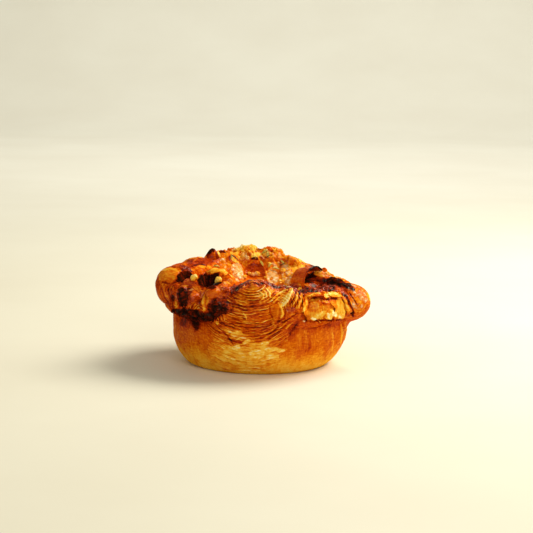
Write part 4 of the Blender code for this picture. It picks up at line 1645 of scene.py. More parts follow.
# on what faces the front from behind the hollow
REAR_TONES = (
    # the smooth red slab behind the cave, and the crusts beside it
    Tone(((-34.9, 51.0), (-30.9, 52.1), (-26.3, 52.6)), 2.55, 0.71, calm=1.0, mottle=0.5, gloss=0.25),
    Tone(((-37.0, 53.0), (-32.9, 53.7), (-28.3, 54.3)), 0.71, 0.46, calm=1.0),
    Tone(((-35.4, 51.1), (-32.9, 51.7)), 0.41, 0.76, calm=1.0),
    Tone(((-31.9, 48.7), (-27.8, 48.9), (-24.2, 49.1)), 0.82, 0.44, bubbles=0.5),
    Tone(((-21.7, 53.9), (-21.5, 50.8), (-21.3, 48.5)), 0.97, 0.65, calm=0.9, gloss=0.3),
    Tone(((-22.4, 55.9), (-22.0, 53.4)), 0.71, 0.82, calm=0.8),
    Tone(((-19.3, 52.1), (-18.6, 49.2)), 1.53, 0.46, bubbles=0.5, cream=0.6, lift=0.3),
    Tone(((-16.1, 50.8), (-15.0, 47.7), (-13.9, 45.1)), 1.02, 0.45, calm=0.9, gloss=0.3),
    Tone(((-14.6, 43.6), (-13.5, 41.5)), 0.92, 0.32, calm=0.6),
    Tone(((-16.1, 43.9), (-13.0, 41.6)), 1.02, 0.26, bubbles=0.9, lift=0.3),
    Tone(((-17.3, 57.2), (-15.6, 58.2), (-13.5, 57.5)), 1.33, 0.5, bubbles=0.4),
    Tone(((-19.6, 55.4), (-16.6, 55.4)), 1.12, 0.52, bubbles=0.3),
    Tone(((-16.0, 54.1), (-15.8, 52.5)), 0.51, 0.78),
    Tone(((-14.2, 53.1), (-11.7, 50.9)), 0.82, 0.2, calm=0.8, lift=0.3),
    Tone(((-12.1, 47.9), (-11.0, 43.8)), 3.06, 0.47, bubbles=0.7, cream=0.72, lift=0.3),
    Tone(((-4.8, 47.2), (-1.3, 46.7), (1.3, 45.9)), 2.86, 0.68, calm=1.0, mottle=0.7, gloss=0.35),
    Tone(((-5.9, 49.7), (-2.3, 50.0), (0.8, 49.4)), 0.66, 0.72, calm=0.9, gloss=0.3),
    Tone(((-6.4, 43.9), (-2.3, 43.4)), 0.77, 0.66, calm=0.9),
    Tone(((6.0, 44.9), (6.4, 42.5)), 3.06, 0.44, bubbles=0.4, cream=0.74, lift=0.3),
    Tone(((5.9, 49.4), (7.4, 48.9)), 1.33, 0.5, bubbles=0.5, cream=0.62),
    Tone(((9.4, 49.2), (9.7, 46.1), (10.0, 42.0)), 0.66, 0.5, calm=0.9, gloss=0.4),
    Tone(((13.2, 47.4), (14.0, 42.5)), 3.16, 0.38, bubbles=0.9, cream=0.62, lift=0.3),
    Tone(((16.4, 49.2), (17.4, 46.1)), 1.12, 0.42, calm=0.7),
    Tone(((18.4, 48.4), (21.7, 48.9)), 1.12, 0.24, calm=0.7, mottle=0.8),
    # under the curled flap, painted dark: a painted shade
    Tone(((22.9, 41.5), (25.0, 43.3), (27.3, 44.6)), 1.63, 0.9, calm=1.0, gloss=0.1),
    Tone(((28.8, 46.1), (31.9, 44.8)), 1.63, 0.36, bubbles=1.0, cream=0.45),
    Tone(((31.4, 46.1), (36.5, 44.6), (41.6, 42.3)), 1.43, 0.42, bubbles=0.9, cream=0.4),
    Tone(((-20.7, 56.2), (-17.6, 54.6)), 1.43, 0.44, bubbles=0.5, mottle=1.4),
    Tone(((-21.2, 50.8), (-19.6, 49.2)), 1.22, 0.52, bubbles=0.4, cream=0.3),
    # the pale crust at the top
    Tone(((-4.6, 59.2), (-3.0, 58.2)), 1.33, 0.2, bubbles=0.3, mottle=0.8),
    Tone(((-8.9, 59.0), (-12.5, 58.3)), 1.02, 0.34, bubbles=0.5),
    Tone(((-1.3, 57.1), (0.8, 56.8)), 1.02, 0.52, calm=0.5),
    Tone(((-3.5, 54.2), (-0.8, 54.9)), 1.33, 0.18, calm=0.8, mottle=0.8, lift=0.2),
    Tone(((-4.5, 52.7), (-1.5, 52.4)), 0.41, 0.84, calm=0.8),
    Tone(((-8.4, 55.4), (-6.7, 53.4)), 0.92, 0.3, bubbles=0.4, cream=0.8),
    Tone(((4.1, 58.2), (5.4, 57.5)), 1.12, 0.6, bubbles=0.6),
    Tone(((2.1, 55.7), (3.5, 54.6)), 1.12, 0.24, bubbles=0.5, cream=0.4),
    Tone(((7.9, 56.4), (10.5, 55.7)), 1.22, 0.42, bubbles=0.8, cream=0.35),
    Tone(((12.2, 54.9), (15.6, 52.3), (18.6, 50.3)), 1.22, 0.42, bubbles=0.9, cream=0.35),
    Tone(((2.8, 52.0), (6.9, 52.5), (12.0, 51.8)), 1.12, 0.52, bubbles=0.6, cream=0.2),
)
STROKES = (
    # the dark, glossy crest over the front swirl
    Stroke(((-15.5, 35.4), (-7.4, 40.6), (2.8, 40.8), (14.0, 38.2), (19.0, 37.6)),
           2.4, 0.30, gloss=1.0, bubbles=1.0),
    Stroke(((-11.5, 39.8), (-8.4, 41.6), (-5.4, 42.6), (-1.0, 43.0)), 0.4, -0.2, 0.12),
    Stroke(((-15.0, 34.8), (-13.2, 36.4), (-11.4, 37.6)), 0.7, -0.1, 0.08, gloss=0.8),
    Stroke(((-9.0, 38.0), (-6.5, 39.4), (-3.5, 39.9)), 0.4, 0.3, -0.30),
    Stroke(((-3.5, 41.6), (-1.0, 42.0), (1.6, 41.4)), 0.5, 0.3, -0.14, gloss=1.0),
    # bright strands of the front swirl
    Stroke(((2.6, 38.0), (4.6, 35.6), (5.0, 32.8)), 0.40, 0.35, -0.26),
    Stroke(((0.6, 37.4), (2.8, 35.4), (3.2, 32.6)), 0.36, 0.35, -0.30),
    Stroke(((-0.6, 36.2), (1.2, 34.6), (1.4, 32.4), (-0.6, 30.8)), 0.36, 0.35, -0.26),
    Stroke(((-15.2, 31.4), (-11.5, 28.9), (-5.4, 28.0), (0.6, 28.8), (4.6, 31.4)), 0.42, -0.3, 0.10),
    Stroke(((-14.6, 32.6), (-11.0, 30.0), (-5.4, 29.2), (0.6, 30.0), (4.0, 32.2)), 0.45, 0.35, -0.16),
    Stroke(((-12.6, 31.6), (-9.4, 30.9), (-6.4, 31.6)), 0.32, 0.3, -0.20),
    Stroke(((-9.0, 25.2), (-7.6, 23.4), (-7.0, 21.6)), 0.40, 0.4, -0.30),
    # the second swirl
    Stroke(((16.1, 36.9), (15.0, 33.8), (13.6, 30.9), (11.6, 28.8)), 0.7, 0.4, -0.16),
    Stroke(((18.0, 36.5), (17.4, 32.9), (15.2, 29.4)), 0.34, -0.45, 0.24),
    Stroke(((19.0, 36.2), (18.4, 32.2), (16.4, 28.8)), 0.36, 0.35, -0.28),
    Stroke(((20.0, 36.0), (19.6, 31.8), (17.9, 28.2)), 0.34, -0.45, 0.26),
    Stroke(((21.1, 35.6), (20.9, 31.8), (19.3, 27.8)), 0.36, 0.35, -0.18),
    Stroke(((22.2, 35.2), (22.0, 31.4), (20.4, 27.4)), 0.34, -0.40, 0.20),
    Stroke(((5.4, 31.4), (7.9, 34.0), (11.5, 36.3), (14.6, 37.0)), 0.42, 0.35, -0.26),
    Stroke(((6.4, 30.2), (8.6, 32.4), (11.4, 34.4)), 0.36, 0.30, -0.22),
    Stroke(((7.4, 29.6), (9.4, 31.2), (11.6, 32.8)), 0.34, -0.30, 0.22),
    Stroke(((9.6, 33.4), (11.4, 34.0)), 0.8, 0.1, 0.20),
    # the tongue under it
    Stroke(((8.9, 30.6), (10.9, 27.3), (11.7, 24.2), (10.2, 22.2)), 0.55, 0.25, -0.24),
    Stroke(((12.2, 28.8), (12.9, 25.4), (12.2, 22.2), (9.6, 20.6), (6.6, 20.8)), 0.45, -0.4, 0.16),
    Stroke(((4.8, 28.8), (5.0, 25.2), (6.4, 21.8)), 0.5, -0.45, 0.16),
    Stroke(((18.3, 24.6), (14.6, 22.0), (10.4, 19.6)), 0.36, -0.35, 0.10, char=0.35),
    Stroke(((13.2, 27.3), (17.4, 27.0)), 0.9, 0.3, 0.04, gloss=1.0, bubbles=1.0),
    # a cream spot: a painted glint, with real gloss
    Stroke(((21.6, 20.9), (22.8, 20.9)), 0.6, 0.4, -0.3, gloss=1.0, cream=0.9),
    # the flakes on the right; the darker bake of the creases and gaps between and under them is painted
    # shadow, and one pale spot a painted glint
    Stroke(((24.4, 33.3), (24.6, 30.2), (23.4, 26.3)), 0.5, -0.8, 0.22),
    Stroke(((23.2, 32.7), (23.1, 29.6), (21.4, 25.6)), 0.5, 0.5, -0.24),
    Stroke(((24.7, 33.5), (27.3, 34.8), (30.3, 34.5)), 0.55, 0.5, -0.30),
    Stroke(((25.2, 32.2), (28.3, 33.1), (31.9, 32.5)), 0.4, -0.5, 0.24),
    Stroke(((33.9, 34.3), (36.0, 35.1), (38.6, 33.8)), 0.9, 0.5, -0.10),
    Stroke(((33.0, 32.0), (36.0, 31.5), (38.9, 31.0)), 0.75, -0.7, 0.08, gloss=0.6),
    Stroke(((39.4, 33.8), (40.2, 30.2), (39.6, 25.5)), 0.4, -0.3, 0.10),
    Stroke(((31.9, 26.2), (29.3, 24.2), (26.6, 22.2)), 0.5, 0.4, -0.14),
    Stroke(((33.6, 26.4), (31.6, 23.9), (29.6, 22.2)), 0.4, -0.5, 0.12),
    Stroke(((34.9, 26.6), (37.0, 24.2), (39.4, 23.2)), 0.9, 0.6, -0.30),
    Stroke(((33.4, 25.0), (33.9, 22.6)), 0.6, 0.5, -0.32),
    # a pale spot: a painted glint
    Stroke(((25.0, 22.4), (27.4, 22.2)), 0.5, 0.4, -0.44),
    Stroke(((30.8, 29.8), (34.6, 29.0), (35.6, 27.4)), 0.5, -0.4, 0.16),
    Stroke(((31.4, 31.2), (33.8, 30.0)), 0.5, 0.3, -0.24),
    Stroke(((26.4, 30.4), (28.6, 29.6), (29.2, 27.6)), 0.4, 0.3, -0.18, gloss=0.7),
    # the crease under the flakes' lower edge, darkened as a painted shadow
    Stroke(((22.4, 21.3), (30.3, 21.1), (42.6, 21.4)), 0.55, -0.9, 0.18),
    # the flaky edge of the wall on the right
    Stroke(((40.8, 20.0), (41.8, 15.2), (40.7, 9.0)), 0.6, 0.4, -0.16),
    Stroke(((43.2, 20.6), (43.6, 15.6), (42.6, 11.0)), 0.5, 0.4, -0.14),
    Stroke(((36.5, 15.0), (37.2, 10.0), (36.4, 5.0)), 0.5, 0.2, -0.12),
    # the streaky char on the right
    Stroke(((32.6, 40.6), (36.5, 42.3), (39.5, 42.2), (43.1, 40.2), (47.4, 36.8)),
           2.0, 0.2, 0.05, char=1.0, bubbles=0.3),
    Stroke(((30.6, 38.6), (34.2, 40.4), (36.6, 40.2)), 0.5, 0.3, 0.0, char=0.8),
    Stroke(((40.0, 40.2), (43.6, 37.4), (46.8, 36.6)), 0.4, 0.35, -0.2),
    Stroke(((45.6, 35.8), (47.9, 32.2), (49.7, 28.9)), 0.34, -0.3, 0.0, char=0.85),
    Stroke(((43.8, 31.4), (45.6, 28.3), (46.9, 25.0), (47.2, 23.4)), 1.1, 0.0, 0.1, char=0.8, bubbles=0.5),
    Stroke(((42.2, 34.6), (43.8, 31.0)), 0.8, -0.2, 0.16, gloss=0.5),
    Stroke(((42.8, 29.4), (44.4, 25.6)), 0.5, 0.3, -0.20),
    Stroke(((51.6, 39.0), (54.2, 36.4), (55.4, 33.0)), 0.6, 0.1, -0.16),
    # the char on the left
    Stroke(((-44.6, 26.0), (-36.0, 24.6), (-31.0, 23.2), (-26.4, 22.8), (-21.0, 24.4)),
           2.6, 0.25, char=1.0, bubbles=0.8),
    Stroke(((-37.0, 24.5), (-33.6, 21.4), (-32.4, 17.0)), 2.0, 0.2, 0.05, char=1.0, bubbles=0.4),
    Stroke(((-30.4, 24.0), (-29.0, 20.8)), 1.4, 0.2, 0.05, char=0.9),
    Stroke(((-19.4, 27.6), (-18.4, 29.2), (-16.6, 29.4), (-15.4, 27.8), (-16.0, 26.0), (-17.8, 25.6),
            (-19.2, 26.6)),
           0.42, 0.6, -0.05, gloss=1.0, calm=0.9),
    Stroke(((-14.6, 30.4), (-13.0, 31.6), (-12.0, 30.0)), 0.45, 0.5, -0.05, gloss=1.0),
    Stroke(((-22.6, 31.6), (-21.4, 33.0), (-20.0, 32.2)), 0.45, 0.5, -0.10, gloss=1.0),
    Stroke(((-28.6, 34.2), (-29.8, 29.8), (-28.8, 25.6)), 0.6, 0.4, -0.12),
    Stroke(((-26.8, 33.0), (-27.2, 29.1), (-26.2, 25.2)), 0.55, 0.4, -0.10),
    Stroke(((-27.9, 33.6), (-28.4, 29.4), (-27.6, 25.4)), 0.3, -0.5, 0.16),
    Stroke(((-30.6, 36.2), (-31.6, 32.8), (-31.0, 28.8)), 0.5, -0.4, 0.14),
    Stroke(((-34.6, 33.4), (-33.6, 32.0)), 1.3, 0.5, 0.04, gloss=1.0),
    # a paler, glossy line on the dome: a painted highlight, with real gloss
    Stroke(((-26.0, 38.3), (-23.8, 38.9), (-21.4, 37.6)), 0.4, 0.2, -0.16, gloss=1.0),
    Stroke(((-42.1, 36.1), (-40.5, 38.1), (-37.3, 38.9)), 0.75, 0.4, -0.18),
    # the dark line under the arch: a painted shade, with some char
    Stroke(((-40.6, 36.0), (-38.8, 37.2), (-36.0, 37.6)), 0.4, -0.4, 0.0, char=0.7, gloss=1.0),
    # the folds of the left lobe
    Stroke(((-51.5, 40.0), (-49.6, 34.3), (-46.6, 28.6)), 0.45, -0.35, 0.12, calm=0.2),
    Stroke(((-50.2, 40.4), (-48.4, 35.0), (-45.6, 29.6)), 0.5, 0.3, -0.10, calm=0.2),
    Stroke(((-47.4, 39.8), (-46.4, 34.3), (-44.8, 30.8)), 0.4, -0.35, 0.12, calm=0.2),
    Stroke(((-53.4, 40.0), (-52.0, 35.0), (-49.6, 31.0)), 0.5, 0.3, -0.08, calm=0.2),
    Stroke(((-50.6, 41.2), (-46.0, 40.0), (-42.0, 41.4)), 0.45, -0.5, 0.16, calm=0.2),
    Stroke(((-41.6, 46.6), (-41.2, 43.2), (-42.0, 40.6)), 0.45, -0.4, 0.20, calm=0.2),
    Stroke(((-50.8, 46.2), (-46.8, 47.8), (-42.6, 47.6)), 0.5, 0.25, -0.14, calm=0.2),
    # the cut face
    Stroke(((-23.4, 24.0), (-21.4, 18.6), (-16.6, 13.0), (-13.4, 7.6)), 0.45, -0.5, 0.16, calm=0.2),
    Stroke(((-21.4, 21.6), (-16.0, 19.0), (-10.4, 17.6)), 0.40, -0.3, 0.14, calm=0.2),
    Stroke(((-19.6, 18.0), (-15.0, 15.6), (-9.4, 14.4)), 0.45, 0.3, -0.14, calm=0.2),
    Stroke(((-12.6, 11.0), (-10.4, 12.2), (-7.4, 12.0)), 0.45, 0.35, -0.26, calm=0.2),
    Stroke(((-17.4, 11.4), (-13.0, 10.2), (-8.0, 9.4)), 0.45, -0.3, 0.16, calm=0.2),
    Stroke(((16.4, 20.4), (10.8, 15.4), (4.4, 10.8)), 0.42, 0.4, -0.22, calm=0.2),
    Stroke(((13.4, 20.6), (7.8, 15.6), (1.4, 11.8)), 0.42, 0.4, -0.20, calm=0.2),
    Stroke(((10.4, 20.4), (5.0, 16.0), (-1.0, 13.0)), 0.42, 0.4, -0.16, calm=0.2),
    Stroke(((15.0, 20.4), (9.4, 15.6), (3.0, 11.4)), 0.34, -0.3, 0.08, calm=0.2),
    Stroke(((11.8, 20.4), (6.6, 15.9), (0.4, 12.4)), 0.34, -0.3, 0.08, calm=0.2),
    Stroke(((18.6, 19.6), (14.6, 13.4), (9.4, 8.4)), 0.5, -0.4, 0.14, calm=0.2),
)
# on what faces the front from behind the hollow
BACK_STROKES = (
    Stroke(((-28.6, 55.2), (-26.0, 57.4), (-24.2, 57.0)), 1.7, 0.0, 0.05, char=1.0, calm=0.3),
    Stroke(((-24.9, 57.0), (-24.7, 59.0)), 1.8, 0.0, 0.0, char=1.0, calm=0.3),
    Stroke(((-22.9, 58.6), (-21.6, 56.0), (-20.6, 53.6)), 0.6, 0.2, -0.34, cream=0.5),
    Stroke(((-20.9, 56.6), (-18.0, 56.2)), 0.8, 0.0, 0.05, char=0.9),
    Stroke(((-34.4, 51.3), (-30.9, 53.9), (-28.3, 54.9)), 0.45, 0.2, -0.18),
    Stroke(((-36.0, 49.0), (-31.0, 50.4), (-27.0, 49.4)), 0.4, -0.2, 0.12, calm=0.2),
    Stroke(((-15.0, 57.6), (-11.0, 59.4), (-6.0, 59.6)), 0.8, 0.2, -0.24, cream=0.6, bubbles=0.8),
)
# charred and creamy places that the front hides
CHARRED = (
    Patch((0.0300, 0.0330, 0.0420), 0.0080, 0.18),
    Patch((0.0080, 0.0480, 0.0380), 0.0080, 0.24),
    Patch((-0.0200, 0.0470, 0.0330), 0.0090, 0.30),
    Patch((0.0440, 0.0240, 0.0340), 0.0070, 0.22),
    Patch((-0.0440, 0.0200, 0.0330), 0.0070, 0.22),
    Patch((-0.0150, 0.0480, 0.0260), 0.0070, 0.28),
    Patch((0.0300, 0.0400, 0.0270), 0.0080, 0.22),
)
CREAMY = (
    Patch((0.0100, 0.0360, 0.0530), 0.0095, 1.0),
    Patch((-0.0070, 0.0360, 0.0530), 0.0100, 1.0),
    Patch((0.0200, 0.0290, 0.0480), 0.0080, 0.9),
    Patch((-0.0150, 0.0350, 0.0520), 0.0050, 0.5),
)
# what the layers of each lobe curve about, along the rim and up from its middle
FOCI = (
    (0.026, 0.004),
    (0.024, 0.002),
    (0.004, 0.030),
    (0.010, 0.020),
    (-0.008, 0.018),
    (0.000, 0.018),
    (0.004, 0.016),
    (-0.022, 0.004),
    (0.028, 0.002),
    (-0.018, 0.014),
    (0.008, 0.022),
    (0.016, 0.012),
    (0.000, 0.016),
    (-0.016, 0.012),
    (0.010, 0.020),
    (0.004, 0.024),
    (0.014, 0.016),
    (0.000, 0.016),
    (-0.012, 0.020),
)


def front_of(points: Points) -> Values:
    """1 on the front half, where the marks lie, and 0 behind."""
    return ease(points[:, 1], 0.002, -0.006)


@dataclass
class Texture:
    """The grains that many surfaces share, and the marks that lie on them, read at some points."""

    points: Points
    large: Values = field(init=False)
    patchy: Values = field(init=False)
    crumb: Values = field(init=False)
    warp: Values = field(init=False)
    ragged: Values = field(init=False)
    sight: Points = field(init=False)
    front: Values = field(init=False)

    def __post_init__(self) -> None:
        """Reads the grains."""
        self.large = LARGE_GRAIN.fractal(self.points, 0.011)
        self.patchy = PATCH_GRAIN.smooth(self.points, 0.0042)
        self.crumb = CRUMB_GRAIN.fractal(self.points, 0.0020)
        self.warp = 0.75 * LAYER_GRAIN.smooth(self.points, 0.0075)
        self.warp = self.warp + 0.38 * LAYER_GRAIN.smooth(self.points, 0.0026)
        self.ragged = 0.8 * self.patchy + 1.1 * self.crumb
        self.sight, self.front = SIGHT.seen(self.points), front_of(self.points)

    def bubbles(self, size: float) -> Values:
        """Round bubbles of about a size, 1 at their tops and 0 between them."""
        return np.sqrt(np.clip(1 - (CRUMB_GRAIN.cells(self.points, size) / 0.64) ** 2, 0, 1))

    def marked(self, marks: tuple[Mark, ...]) -> Values:
        """How much of some marks lies on each point."""
        return total(marks, self.sight, self.ragged)

    def patched(self, patches: tuple[Patch, ...]) -> Values:
        """How much of some patches lies on each point."""
        return total(patches, self.points, self.ragged)

    def browned(self) -> Values:
        """What the brown and the pale marks add to the bake of the front; a few of them are painted shade and
        painted highlights.
        """
        return self.front * (self.marked(BROWNED_AND_SHADED) - self.marked(PALED_AND_LIT))

    def blackened(self) -> Values:
        """How dark the burnt marks leave the front, from 0 to 1: char, and painted shade in the cave and
        under the curled flap.
        """
        return self.front * np.clip(self.marked(BURNT_AND_SHADED), 0, 1)

    def drawn(self, strokes: tuple[Stroke | Tone, ...], weight: Values) -> Drawn:
        """What tones and strokes add, by how much they count at each point."""
        return draw(strokes, self.sight, self.ragged, weight)

    def flecked(self, cream: Values) -> Values:
        """Flecks of cream, which grow together as the cream nears 1."""
        flecks = ease(self.crumb + 0.4 * self.patchy + 1.6 * (cream - 0.5), -0.05, 0.45)
        return 0.9 * flecks * ease(cream, 0.0, 0.25)

    def creamy(self, small: Values) -> Values:
        """Cream on the tops of the small bubbles of a golden crust."""
        return 0.7 * ease(small + 0.7 * self.crumb + 0.6 * self.patchy, 0.70, 1.2)

    def lumps(self, wide: Values, small: Values) -> Values:
        """How high the bubbles of a golden crust stand, in metres."""
        return 0.00050 * (wide - 0.4) + 0.00055 * (small - 0.4) + 0.00040 * self.crumb

    def gold(self, wide: Values, small: Values) -> Values:
        """How baked a golden crust is: pale on its bubbles and brown between them."""
        return 0.64 - 0.20 * wide - 0.14 * small + 0.18 * self.crumb + 0.14 * self.patchy


def between(wide: Values, small: Values) -> Values:
    """How much browner a toned crust is between its bubbles."""
    return 0.14 * (1 - wide) + 0.14 * (0.5 - small)


def whorl_layers(whorl: Whorl, points: Points, warp: Values) -> tuple[Values, Values, Values]:
    """The slivers of a whorl, with finer ones on them.

    Args:
        whorl: The whorl.
        points: The points.
        warp: What shifts the layers, in layers.

    Returns:
        Height, tint and crease, each from 0 to about 1.
    """
    count, along, _, _ = whorl.read(points)
    height, tint, crease = SLIVERS.at(count + warp, along)
    fine, fine_tint, _ = SLIVERS.at(2.7 * count + 2.2 * warp, along * 1.3)
    return mix(height, fine, 0.26), mix(tint, fine_tint, 0.35), crease


def wall_bake(height: Values) -> Values:
    """The wall's bake at heights: paler towards the foot and darker under the crown."""
    return 0.55 - 0.24 * ease(height, 0.0150, 0.0010) + 0.08 * ease(height, 0.0170, 0.0290)


# ---------------------------------------------------------------- the dough


@dataclass
class CupWall:
    """The cup: smooth panels where the tin's wall was, and a flat underside."""

    columns: int = 560
    rows: int = 96
    cap_rings: int = 7
    foot_round: float = 0.0008
    axis_near: float = 1e-4
    streak_size: float = 0.0017
    strands_round: float = 38

    def build(self) -> bpy.types.Object:
        """Shapes and colours the cup.

        Returns:
            The cup's mesh.
        """
        columns, rows = int(self.columns * FINE), int(self.rows * FINE)
        rings = rows + 2 * self.cap_rings
        piece, unit = add_ball("cup_wall", columns, rings)
        azimuth = azimuth_of(unit)
        ring = polar_of(unit) * rings
        height = CUP.top * np.clip((rows + self.cap_rings - ring) / rows, 0, 1)
        rim = np.clip(np.minimum(ring, rings - ring) / self.cap_rings, 0, 1) ** 0.5
        rim[np.hypot(unit[:, 0], unit[:, 1]) < self.axis_near] = 0
        relief, crust = self._dress(CUP.points_at(azimuth, height), azimuth, height)
        relief = relief * ease(height, 0.0, 0.0030) - self.foot_round * ease(height, 0.0010, 0.0)
        reach = (CUP.radius(azimuth, height) + relief) * rim
        write_points(piece, raised(outward_at(azimuth) * reach[:, None], height))
        crust.keep_on(piece)
        return piece

    def _dress(self, flat: Points, azimuth: Values, height: Values) -> tuple[Values, Crust]:
        """Works out the wall's relief and channels.

        Args:
            flat: Points on the plain wall.
            azimuth: Their azimuths.
            height: Their heights.

        Returns:
            The relief in metres, and the crust.
        """
        grain = Texture(flat)
        streak = CRUMB_GRAIN.smooth(flat * np.array((1, 1, 0.22)), self.streak_size)
        broad = PATCH_GRAIN.smooth(flat * np.array((1, 1, 0.35)), 0.0080)
        pocks = groove(LAYER_GRAIN.smooth(flat, 0.0045) * 1.2, 0.10) * ease(grain.patchy, 0.1, 0.7)
        drawn = grain.drawn(STROKES, grain.front)
        relief = 0.00034 * grain.large + 0.00010 * streak + 0.00006 * grain.crumb - 0.00018 * pocks
        bake = wall_bake(height) + 0.07 * grain.large + 0.07 * broad + 0.06 * streak + 0.04 * grain.crumb
        bake = bake + grain.browned() + drawn.bake + grain.patched(CHARRED)
        char = np.maximum(drawn.char, grain.blackened())
        bake = mix(bake, 0.92 + 0.10 * grain.crumb + 0.06 * streak, char)
        glaze = np.clip(0.10 + 0.20 * grain.large + drawn.gloss, 0, 1)
        glaze = glaze * ease(height, 0.002, 0.010) * (1 - char)
        across = np.radians(azimuth) * self.strands_round + 0.6 * grain.warp
        flow = flow_of(across, height * 0.7, 0.20 + 0.16 * grain.large)
        # the pocks go into the crease channel, and so are darkened as painted shade in them
        return relief + drawn.lift, Crust(bake, 0.5 * pocks, glaze, drawn.cream, flow)


@dataclass
class CutFace:
    """The cut face of a roll on the cup: curved layers that stand a little proud of the wall.

    Its middle is relief on the wall. Its edge is ragged and lies behind the wall.
    """

    name: str
    whorl: Whorl
    spread: float = 0.0225
    columns: int = 330
    rows: int = 140
    thick: float = 0.0030
    margin: float = 0.004
    foot: float = 0.0006
    tall: float = 0.0330
    least_wide: float = 0.0120
    widening: float = 0.0105
    swell: float = 0.0030
    sunk: float = 0.0012
    warp: float = 0.85

    def build(self) -> bpy.types.Object:
        """Shapes and colours the slab.

        Returns:
            Its mesh.
        """
        piece = self._slab()
        box = read_points(piece)
        reach = self.spread + self.margin
        azimuth = self.whorl.azimuth + np.degrees(box[:, 0] * reach / CUP.lip_radius)
        height = self.foot + (box[:, 2] + 1) / 2 * self.tall
        relief, crust = self._dress(CUP.points_at(azimuth, height), height)
        radius = CUP.radius(azimuth, height) + np.where(box[:, 1] < 0, relief, -self.thick)
        write_points(piece, raised(outward_at(azimuth) * radius[:, None], height))
        crust.keep_on(piece)
        return piece

    def _slab(self) -> bpy.types.Object:
        """A box, cut finely along its width and its height.

        Returns:
            The box, from -1 to 1.
        """
        deselect()
        bpy.ops.mesh.primitive_cube_add(size=2)
        piece = named(self.name)
        shape = bmesh.new()
        shape.from_mesh(piece.data)
        for axis, cuts in ((0, int(self.columns * FINE)), (2, int(self.rows * FINE))):
            edges = [e for e in shape.edges if abs(e.verts[0].co[axis] - e.verts[1].co[axis]) > 1.5]
            bmesh.ops.subdivide_edges(shape, edges=edges, cuts=cuts, use_grid_fill=True)
        shape.to_mesh(piece.data)
        shape.free()
        return piece

    def _dress(self, flat: Points, height: Values) -> tuple[Values, Crust]:
        """Works out the slab's relief and channels.

        Args:
            flat: Points on the plain wall.
            height: Their heights.

        Returns:
            The relief in metres, and the crust.
        """
        grain = Texture(flat)
        warp = self.warp * grain.warp
        layer, tint, crease = whorl_layers(self.whorl, flat, warp)
        count, along, side, _ = self.whorl.read(flat)
        broad = PATCH_GRAIN.smooth(flat, 0.0075)
        drawn = grain.drawn(LOW_TONES + STROKES, grain.front)
        edge = self._edge(side, height, grain)
        inside = ease(edge, 1.0, 0.93) * ease(height, self.foot, 0.0022)
        relief = 0.00028 + 0.00036 * (layer - 0.35) + 0.00025 * grain.large + 0.00014 * grain.crumb
        swell = self.swell * ease(height, 0.0185, 0.0290) * ease(np.abs(side + 0.003), 0.019, 0.011)
        relief = mix(-self.sunk, np.clip(relief + drawn.lift, -0.0005, 0.0011) + swell, inside)
        low = ease(height + 0.0020 * broad, 0.0260, 0.0090)
        merge = 0.85 * ease(edge, 0.55, 0.98)
        crackle = np.abs(LAYER_GRAIN.smooth(flat * np.array((0.7, 0.7, 1.3)), 0.0036) + 0.35 * grain.crumb)
        bake = 0.68 + 0.06 * grain.large - 0.20 * (1 - 0.4 * low) * (tint - 0.5) - 0.06 * (layer - 0.3)
        bake = bake + 0.06 * grain.crumb - 0.08 * ease(height, 0.0290, 0.0340) - low * (0.36 + 0.08 * broad)
        bake = bake - 0.10 * low * (ease(crackle, 0.10, 0.48) - 0.45) + drawn.bake + grain.browned()
        bake = mix(bake, wall_bake(height) + 0.07 * grain.patchy, merge) + grain.patched(CHARRED)
        char = np.maximum(drawn.char, grain.blackened())
        bake = mix(bake, 0.92 + 0.10 * grain.crumb, char) * (1 - drawn.toned) + drawn.tone
        # the creases between layers are kept for painted shade, with browner crust
        crease = crease * (0.38 - 0.22 * low) * (1 - drawn.calm)
        glaze = np.clip(0.16 + 0.2 * grain.large + drawn.gloss, 0, 1) * (1 - char)
        flow = flow_of(count + warp, along, (0.80 - 0.35 * low) * (1 - 0.4 * merge))
        return relief, Crust(bake, crease, glaze, grain.flecked(drawn.cream), flow)

    def _edge(self, side: Values, height: Values, grain: Texture) -> Values:
        """How far out in the slab each point is.

        Args:
            side: Places to the side of the whorl's focus.
            height: Heights above the table.
            grain: The grains there.

        Returns:
            Values from 0 at the middle to 1 at the ragged edge.
        """
        width = self.least_wide + self.widening * np.clip((height - 0.001) / 0.020, 0, 1) ** 0.7
        return np.abs(side + 0.0018) / width + 0.14 * grain.patchy + 0.10 * grain.warp + 0.05 * grain.crumb


